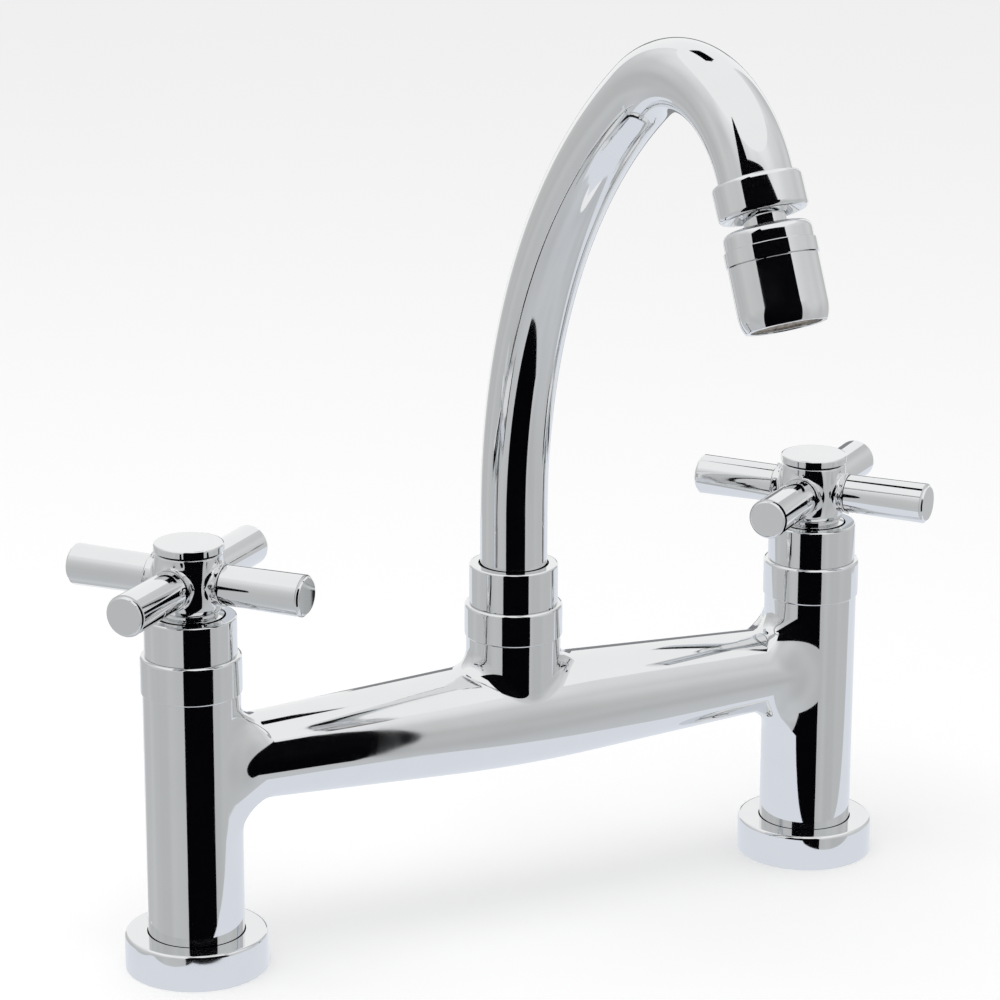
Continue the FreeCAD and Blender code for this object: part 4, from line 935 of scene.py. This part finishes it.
TRIM_TOP = 94.7
COLLAR_TOP = 106.6
COLLAR_RADIUS = 12.95
COLLAR_MOUTH = 10.3
COLLAR_BORE = 9.96
COLLAR_FOOT = 75.95
COLLAR_NECK = 11.9
LEAD_TOP = COLLAR_TOP - 1.8
LEAD_FOOT = COLLAR_TOP - 2.2
TRIM_BORE = 12.0

turned(
    "trim_ring",
    [
        (TRIM_BORE, BOSS_TOP + SEAT_GAP),
        (BOSS_RADIUS + RING_STAND, BOSS_TOP + SEAT_GAP, RING_STAND),
        (BOSS_RADIUS + RING_STAND, TRIM_TOP, RING_ROUND),
        (TRIM_BORE, TRIM_TOP),
    ],
    TURNED_CHROME,
    "spout_trim_ring",
    "tap_body",
)
turned(
    "collar",
    [
        (COLLAR_BORE, COLLAR_FOOT),
        (COLLAR_NECK, COLLAR_FOOT),
        (COLLAR_NECK, TRIM_TOP + SEAT_GAP),
        (COLLAR_RADIUS, TRIM_TOP + SEAT_GAP),
        (COLLAR_RADIUS, COLLAR_TOP, TOP_ROUND),
        (COLLAR_MOUTH, COLLAR_TOP),
        (COLLAR_MOUTH, LEAD_TOP),
        (COLLAR_BORE, LEAD_FOOT),
    ],
    TURNED_CHROME,
    "spout_collar",
    "tap_body",
)

# ---------------------------------------------------------------------------------------------
# Spout: brass tube bent on a former in one long easy rise and one tight crown, then polished and
# chromed. It leans three degrees to one side because the spout was left turned that far.
# ---------------------------------------------------------------------------------------------

TUBE_CHROME = chrome("tube_chrome", 30.0, 0.03)
TUBE_RADIUS = 9.78
TUBE_WALL = 1.0
TUBE_FOOT = 84.05
RISE_START = 122.5
RISE_RADIUS = 166.8
RISE_SWEEP = 53.1
CROWN_RADIUS = 36.2
CROWN_SWEEP = 101.0
STRAIGHT_STEPS = 8
RISE_STEPS = 72
CROWN_STEPS = 84
TAIL = 1.0
SWIVEL = Matrix.Rotation(math.radians(3.0), 4, "Z")

tube = bmesh.new()
walls = []
for radius in (TUBE_RADIUS, TUBE_RADIUS - TUBE_WALL):
    made = bmesh.ops.create_circle(
        tube, segments=SPIN_STEPS, radius=radius, matrix=Matrix.Translation((0, 0, TUBE_FOOT))
    )["verts"]
    ring = list({edge for vertex in made for edge in vertex.link_edges})
    ends = [ring]
    rise = (RISE_START - TUBE_FOOT) / STRAIGHT_STEPS
    for _ in range(STRAIGHT_STEPS):
        grown = bmesh.ops.extrude_edge_only(tube, edges=ring)["geom"]
        fresh = [part for part in grown if isinstance(part, bmesh.types.BMVert)]
        bmesh.ops.translate(tube, vec=(0, 0, rise), verts=fresh)
        ring = [part for part in grown if isinstance(part, bmesh.types.BMEdge)]
    forward, up, turned_by = 0.0, RISE_START, 0.0
    for bend, sweep, steps in (
        (RISE_RADIUS, RISE_SWEEP, RISE_STEPS),
        (CROWN_RADIUS, CROWN_SWEEP, CROWN_STEPS),
    ):
        lean = math.radians(turned_by)
        centre = (forward + bend * math.cos(lean), up - bend * math.sin(lean))
        vertices = list({vertex for edge in ring for vertex in edge.verts})
        last = bmesh.ops.spin(
            tube,
            geom=vertices + ring,
            cent=(0, -centre[0], centre[1]),
            axis=(1, 0, 0),
            angle=math.radians(sweep),
            steps=steps,
        )["geom_last"]
        ring = [part for part in last if isinstance(part, bmesh.types.BMEdge)]
        turned_by += sweep
        lean = math.radians(turned_by)
        forward = centre[0] - bend * math.cos(lean)
        up = centre[1] + bend * math.sin(lean)
    grown = bmesh.ops.extrude_edge_only(tube, edges=ring)["geom"]
    fresh = [part for part in grown if isinstance(part, bmesh.types.BMVert)]
    heading = math.radians(turned_by)
    step_out = (0, -TAIL * math.sin(heading), TAIL * math.cos(heading))
    bmesh.ops.translate(tube, vec=step_out, verts=fresh)
    ends.append([part for part in grown if isinstance(part, bmesh.types.BMEdge)])
    walls.append(ends)
for outer, inner in zip(*walls):
    bmesh.ops.bridge_loops(tube, edges=outer + inner)
bmesh.ops.recalc_face_normals(tube, faces=tube.faces)
bmesh.ops.transform(tube, matrix=SWIVEL, verts=tube.verts)
finish_piece("tube", tube, TUBE_CHROME, "spout_tube", "spout")
end_forward = forward + TAIL * math.sin(heading)
end_up = up + TAIL * math.cos(heading)

# ---------------------------------------------------------------------------------------------
# Swivel nut and outlet: a turned nut holds a ball on a short neck, and the ball carries a cap
# with a rounded shoulder and a sleeve screwed on below it. All are chromed brass.
# ---------------------------------------------------------------------------------------------

BALL_DEPTH = 3.9
OUTLET_LEAN = 2.5
NUT_RADIUS = 11.7
NUT_HEIGHT = 9.5


def at_outlet(depth, lean):
    """The frame of a piece depth below the tube's end; lean tips it towards plumb."""
    place = Matrix.Translation(
        (
            0,
            -(end_forward + depth * math.sin(heading)),
            end_up + depth * math.cos(heading),
        )
    )
    return SWIVEL @ place @ Matrix.Rotation(heading + math.radians(lean) - math.pi, 4, "X")


NUT_BORE = 10.05
NUT_ROUND = 1.3
NUT_LIP = NUT_RADIUS - 1.8
SOCKET_RADIUS = 8.0
SOCKET_STEPS = 5
SOCKET_DEPTH = 3.0
LIP_LEVEL = BALL_DEPTH + SOCKET_DEPTH
LIP_EDGE = BALL_DEPTH + 3.4
LIP_RADIUS = math.sqrt(SOCKET_RADIUS**2 - SOCKET_DEPTH**2)
socket_top = (SOCKET_RADIUS, -BALL_DEPTH)
socket_lip = (LIP_RADIUS, -LIP_LEVEL)
turned(
    "nut",
    [
        (NUT_BORE, 0),
        (NUT_BORE, -BALL_DEPTH),
        socket_top,
        *arc(socket_top, socket_lip, SOCKET_RADIUS, SOCKET_STEPS),
        socket_lip,
        (LIP_RADIUS, -LIP_EDGE),
        (NUT_LIP, -NUT_HEIGHT),
        (NUT_RADIUS, -NUT_HEIGHT, NUT_ROUND),
        (NUT_RADIUS, 0, NUT_ROUND),
    ],
    TURNED_CHROME,
    "swivel_nut",
    "spout",
    at_outlet(0, 0),
)

OUTLET = at_outlet(BALL_DEPTH, OUTLET_LEAN)
BALL_RADIUS = 7.9
BALL_FLAT = 3.5
STEM_RADIUS = 5.6
CAP_LEVEL = 8.6
CAP_FOOT_LEVEL = 17.2
ROOF_LEVEL = CAP_LEVEL + 2.6
FLAT_RADIUS = math.sqrt(BALL_RADIUS**2 - BALL_FLAT**2)
STEM_START = math.sqrt(BALL_RADIUS**2 - STEM_RADIUS**2)
BALL_STEPS = 18
STEM_BORE = 3.4
STEM_FLANGE = 8.6
STEM_TOP = ROOF_LEVEL + SEAT_GAP
STEM_END = STEM_TOP + 3.0
ball_flat = (FLAT_RADIUS, BALL_FLAT)
ball_neck = (STEM_RADIUS, -STEM_START)
turned(
    "stem",
    [
        (STEM_BORE, BALL_FLAT),
        ball_flat,
        *arc(ball_flat, ball_neck, BALL_RADIUS, BALL_STEPS),
        ball_neck,
        (STEM_RADIUS, -STEM_TOP),
        (STEM_FLANGE, -STEM_TOP),
        (STEM_FLANGE, -STEM_END),
        (STEM_BORE, -STEM_END),
    ],
    TURNED_CHROME,
    "ball_stem",
    "aerator_head",
    OUTLET,
)

SHOULDER_RADIUS = 11.55
SHOULDER_ROUND = 2.2
SHOULDER_FOOT = CAP_LEVEL + 4.7
BAND_RADIUS = 12.05
BAND_TOP = CAP_LEVEL + 4.95
SPIGOT_RADIUS = 10.35
SPIGOT_END = CAP_FOOT_LEVEL + 4.1
CHAMBER_RADIUS = 9.0
turned(
    "outlet_cap_piece",
    [
        (STEM_RADIUS + SEAT_GAP, -CAP_LEVEL),
        (SHOULDER_RADIUS, -CAP_LEVEL, SHOULDER_ROUND),
        (SHOULDER_RADIUS, -SHOULDER_FOOT),
        (BAND_RADIUS, -BAND_TOP),
        (BAND_RADIUS, -CAP_FOOT_LEVEL),
        (SPIGOT_RADIUS, -CAP_FOOT_LEVEL),
        (SPIGOT_RADIUS, -SPIGOT_END),
        (CHAMBER_RADIUS, -SPIGOT_END),
        (CHAMBER_RADIUS, -ROOF_LEVEL),
        (STEM_RADIUS + SEAT_GAP, -ROOF_LEVEL),
    ],
    TURNED_CHROME,
    "outlet_cap",
    "aerator_head",
    OUTLET,
)

SLEEVE_LEVEL = 17.35
RIM_LEVEL = 34.65
RIM_RADIUS = 10.6
RIM_INSIDE = 9.3
OUTLET_RADIUS = 11.75
OUTLET_THREAD = 10.4
OUTLET_BORE = 9.85
THREAD_END = 21.9
LEDGE_LEVEL = RIM_LEVEL - 0.9
END_INSET = 1.15
END_DEPTH = 4.8
END_STEPS = 8
END_ROUND = (END_INSET**2 + END_DEPTH**2) / (2 * END_INSET)
end_side = (OUTLET_RADIUS, -RIM_LEVEL + END_DEPTH)
turned(
    "outlet_sleeve_piece",
    [
        (OUTLET_THREAD, -SLEEVE_LEVEL),
        (OUTLET_RADIUS, -SLEEVE_LEVEL, 0.3),
        end_side,
        *arc(end_side, (RIM_RADIUS, -RIM_LEVEL), END_ROUND, END_STEPS),
        (RIM_RADIUS, -RIM_LEVEL, 0.25),
        (RIM_INSIDE, -RIM_LEVEL, 0.2),
        (RIM_INSIDE, -LEDGE_LEVEL),
        (OUTLET_BORE, -LEDGE_LEVEL),
        (OUTLET_BORE, -THREAD_END),
        (OUTLET_THREAD, -THREAD_END),
    ],
    TURNED_CHROME,
    "outlet_sleeve",
    "aerator_head",
    OUTLET,
)

# ---------------------------------------------------------------------------------------------
# Working parts that stay out of sight, and the outlet's screen: bare brass, black rubber, fired
# ceramic, stainless steel, red fibre and moulded plastic, each left as its maker's tool left it.
# ---------------------------------------------------------------------------------------------

MOTTLE_SCALE = 9
MOTTLE_RANGE = (0.7, 1.3)
GRAIN_SPREAD = 0.12


def hidden(name, low, high, grain, rough, depth, **constants):
    """A finish whose colour, roughness and relief all follow one grain."""
    finish = Finish(name, **constants)
    pattern = finish.noise(grain, detail=4.0)
    mottle = finish.noise(grain * MOTTLE_SCALE)
    colour = finish.tint(finish.between(pattern + mottle, *MOTTLE_RANGE), low, high)
    roughness = rough + GRAIN_SPREAD * (pattern - 0.5)
    return finish.show(colour, roughness, finish.bump(pattern, depth))


PLAIN_FINISHES = {
    "brass": hidden(
        "bare_brass", (0.66, 0.5, 0.24), (0.74, 0.58, 0.3), 0.5, 0.3, 0.02, Metallic=1.0
    ),
    "rubber": hidden(
        "black_rubber", (0.018, 0.018, 0.019), (0.035, 0.035, 0.036), 0.4, 0.65, 0.03
    ),
    "ceramic": hidden(
        "fired_ceramic", (0.78, 0.77, 0.73), (0.86, 0.85, 0.82), 0.3, 0.28, 0.01
    ),
    "steel": hidden(
        "spring_steel", (0.5, 0.5, 0.5), (0.6, 0.6, 0.59), 0.4, 0.32, 0.01, Metallic=1.0
    ),
    "fibre": hidden(
        "red_fibre", (0.33, 0.08, 0.05), (0.43, 0.12, 0.08), 0.25, 0.75, 0.05
    ),
    "plastic": hidden(
        "moulded_plastic", (0.2, 0.17, 0.145), (0.29, 0.25, 0.215), 0.5, 0.45, 0.02
    ),
}
for part in frame["record"]["subparts"]:
    if part["material_slot"] in PLAIN_FINISHES:
        mesh = frame["nodes"][part["node"]].data
        mesh.materials.clear()
        mesh.materials.append(PLAIN_FINISHES[part["material_slot"]])

# ---------------------------------------------------------------------------------------------
# Studio: a white sweep lies under the tap. Only the chrome sees the rest, which is grey walls that
# glow brighter towards the top with painted overhead light, a white board and dark openings; the
# near opening draws the black band down every upright mirror.
# ---------------------------------------------------------------------------------------------

WHITE = (1.0, 1.0, 1.0)
BLACK = (0.0, 0.0, 0.0, 1.0)
FLOOR_REACH = 6000
SILL_LEVEL = -160
ROOF_HEIGHT = 620
ROOF_EDGE = ((18, 84), (75, 74), (134, 104), (122, 215), (26, 235))
DOORWAY_FOOT = -900
DOORWAY_TOP = 500
BOARD_LEVEL = 0.05
BOARD_EDGE = (
    (-143, -7),
    (-121, -37),
    (-96, -42),
    (-72, -54),
    (-8, -70),
    (80, -37),
    (400, -30),
    (400, 400),
    (-94, 400),
    (-94, 44),
    (-130, 34),
)


def matt(name, **constants):
    """A studio finish without shine or pattern."""
    nodes = Nodes(bpy.data.materials.new(name))
    shader = nodes.tree.nodes["Principled BSDF"]
    for socket, value in {"Specular_IOR_Level": 0.0, **constants}.items():
        nodes.feed(shader.inputs[socket.replace("_", " ")], value)
    return bpy.data.materials[name]


def staged(name, mesh, finish):
    """Puts a mesh in the scene as part of the studio."""
    data = bpy.data.meshes.new(name)
    mesh.to_mesh(data)
    mesh.free()
    data.materials.append(finish)
    sheet = bpy.data.objects.new(name, data)
    bpy.context.scene.collection.objects.link(sheet)
    return sheet


def card(name, corners, finish):
    """A flat sheet of the studio, from its corners in millimetres."""
    mesh = bmesh.new()
    mesh.faces.new([mesh.verts.new(Vector(corner) * MM) for corner in corners])
    return staged(name, mesh, finish)


floor = card(
    "floor",
    [
        (-FLOOR_REACH, -FLOOR_REACH, 0),
        (FLOOR_REACH, -FLOOR_REACH, 0),
        (FLOOR_REACH, FLOOR_REACH, 0),
        (-FLOOR_REACH, FLOOR_REACH, 0),
    ],
    matt(
        "white_sweep",
        Base_Color=(0.8, 0.8, 0.8, 1.0),
        Roughness=0.9,
        Emission_Color=(*WHITE, 1.0),
        Emission_Strength=0.28,
    ),
)
floor.visible_glossy = False

DARK = matt("dark_opening", Base_Color=(0.002, 0.002, 0.003, 1.0))
opening = card(
    "opening",
    [
        (-265, -196, SILL_LEVEL),
        (72, -339, SILL_LEVEL),
        (72, -339, 378),
        (-150, -245, 372),
        (-262, -197, 620),
        (-265, -196, 600),
    ],
    DARK,
)
gap = card("roof_gap", [(x, y, ROOF_HEIGHT) for x, y in ROOF_EDGE], DARK)
far = card(
    "far_doorway",
    [
        (610, 1640, DOORWAY_FOOT),
        (1190, 1350, DOORWAY_FOOT),
        (1190, 1350, DOORWAY_TOP),
        (610, 1640, DOORWAY_TOP),
    ],
    matt(
        "dim_doorway",
        Base_Color=BLACK,
        Emission_Color=(0.26, 0.265, 0.275, 1.0),
        Emission_Strength=1.0,
    ),
)
board = card(
    "board",
    [(x, y, BOARD_LEVEL) for x, y in BOARD_EDGE],
    matt(
        "white_board",
        Base_Color=BLACK,
        Emission_Color=(0.895, 0.93, 1.0, 1.0),
        Emission_Strength=0.9,
    ),
)

WALL_RADIUS = 2000.0
WALL_LOW = -78.0
WALL_HIGH = 48.0
WALL_START = 93.0
WALL_SWEEP = 300.0
WALL_BANDS = 12
WALL_FACETS = 60
BLOTCH_SIZE = 1100.0
BLOTCH_DARKEST = 0.76
BLOTCH_RANGE = 0.48
walls = Finish(
    "grey_walls",
    Base_Color=BLACK,
    Specular_IOR_Level=0.0,
    Emission_Strength=1.0,
)
rise = walls.add("ShaderNodeSeparateXYZ", None, {0: walls.place}, "Z")
# Painted light: the walls' glow grows brighter towards the top, where the overhead light falls on
# them.
shade = walls.add(
    "ShaderNodeValToRGB",
    {
        "stops": [
            (0.0, (0.60, 0.615, 0.64)),
            (0.35, (0.585, 0.595, 0.60)),
            (0.5, (0.60, 0.607, 0.607)),
            (0.72, (0.66, 0.668, 0.67)),
            (0.87, (0.90, 0.91, 0.92)),
        ]
    },
    {0: 0.5 + rise * (0.5 / WALL_RADIUS)},
)
# The walls' glow is darker and lighter in broad random patches.
blotches = BLOTCH_DARKEST + BLOTCH_RANGE * walls.noise(BLOTCH_SIZE, detail=1.0)
shade = walls.add("ShaderNodeVectorMath", {"operation": "SCALE"}, {0: shade, "Scale": blotches})
walls.feed(walls.shader.inputs["Emission Color"], shade)
shell = bmesh.new()
start = math.radians(WALL_START)
outline = []
for step in range(WALL_BANDS + 1):
    lift = math.radians(WALL_LOW + (WALL_HIGH - WALL_LOW) * step / WALL_BANDS)
    way = Vector(
        (math.cos(lift) * math.cos(start), math.cos(lift) * math.sin(start), math.sin(lift))
    )
    outline.append(shell.verts.new(way * WALL_RADIUS * MM))
edges = [shell.edges.new(pair) for pair in zip(outline, outline[1:])]
bmesh.ops.spin(
    shell,
    geom=outline + edges,
    cent=(0, 0, 0),
    axis=(0, 0, 1),
    angle=math.radians(WALL_SWEEP),
    steps=WALL_FACETS,
)
surround = staged("walls", shell, walls.material)
surround.data.shade_smooth()
for sheet in (opening, gap, far, board, surround):
    for hidden_from in ("camera", "diffuse", "shadow"):
        setattr(sheet, f"visible_{hidden_from}", False)

WORLD_GREY = (0.7, 0.7, 0.7)
world = bpy.data.worlds.new("studio")
bpy.context.scene.world = world
studio = Nodes(world)
background = studio.tree.nodes["Background"]
seen = (
    studio.add("ShaderNodeLightPath", output="Is Camera Ray")
    + studio.add("ShaderNodeLightPath", output="Is Glossy Ray")
    + studio.add("ShaderNodeLightPath", output="Is Transmission Ray")
)
shade = studio.add(
    "ShaderNodeMix",
    {"data_type": "RGBA"},
    {"Factor": seen, "A": (*WORLD_GREY, 1.0), "B": (*WHITE, 1.0)},
    "Result",
)
studio.feed(background.inputs["Color"], shade)

SOFTBOX_SIZE = (0.9, 0.7)
SOFTBOX_POWER = 5.0
SOFTBOX_PLACE = (-0.35, -0.2, 1.25)
SOFTBOX_AIM = Vector((0, 0, 0.1))
softbox = bpy.data.lights.new("softbox", "AREA")
softbox.shape = "RECTANGLE"
softbox.size, softbox.size_y = SOFTBOX_SIZE
softbox.energy = SOFTBOX_POWER
lamp = bpy.data.objects.new("softbox", softbox)
lamp.location = SOFTBOX_PLACE
lamp.rotation_euler = (SOFTBOX_AIM - lamp.location).to_track_quat("-Z", "Y").to_euler()
lamp.visible_glossy = False
bpy.context.scene.collection.objects.link(lamp)

# ---------------------------------------------------------------------------------------------
# Camera: a long lens a little above the tap and to its left, as in the photograph.
# ---------------------------------------------------------------------------------------------

CAMERA_PLACE = (-478.46, -929.33, 435.98)
CAMERA_YAW = math.radians(27.0206)
CAMERA_PITCH = math.radians(16.5445)
CAMERA_ROLL = math.radians(0.1906)
SENSOR_WIDTH = 36.0
LENS = 135.57

camera_data = bpy.data.cameras.new("camera")
camera_data.sensor_width = SENSOR_WIDTH
camera_data.lens = LENS
camera = bpy.data.objects.new("camera", camera_data)
aim = (
    Matrix.Rotation(-CAMERA_YAW, 4, "Z")
    @ Matrix.Rotation(math.pi / 2 - CAMERA_PITCH, 4, "X")
    @ Matrix.Rotation(CAMERA_ROLL, 4, "Z")
)
camera.matrix_world = Matrix.Translation(Vector(CAMERA_PLACE) * MM) @ aim
bpy.context.scene.collection.objects.link(camera)
bpy.context.scene.camera = camera
bpy.context.scene.view_settings.view_transform = "Standard"
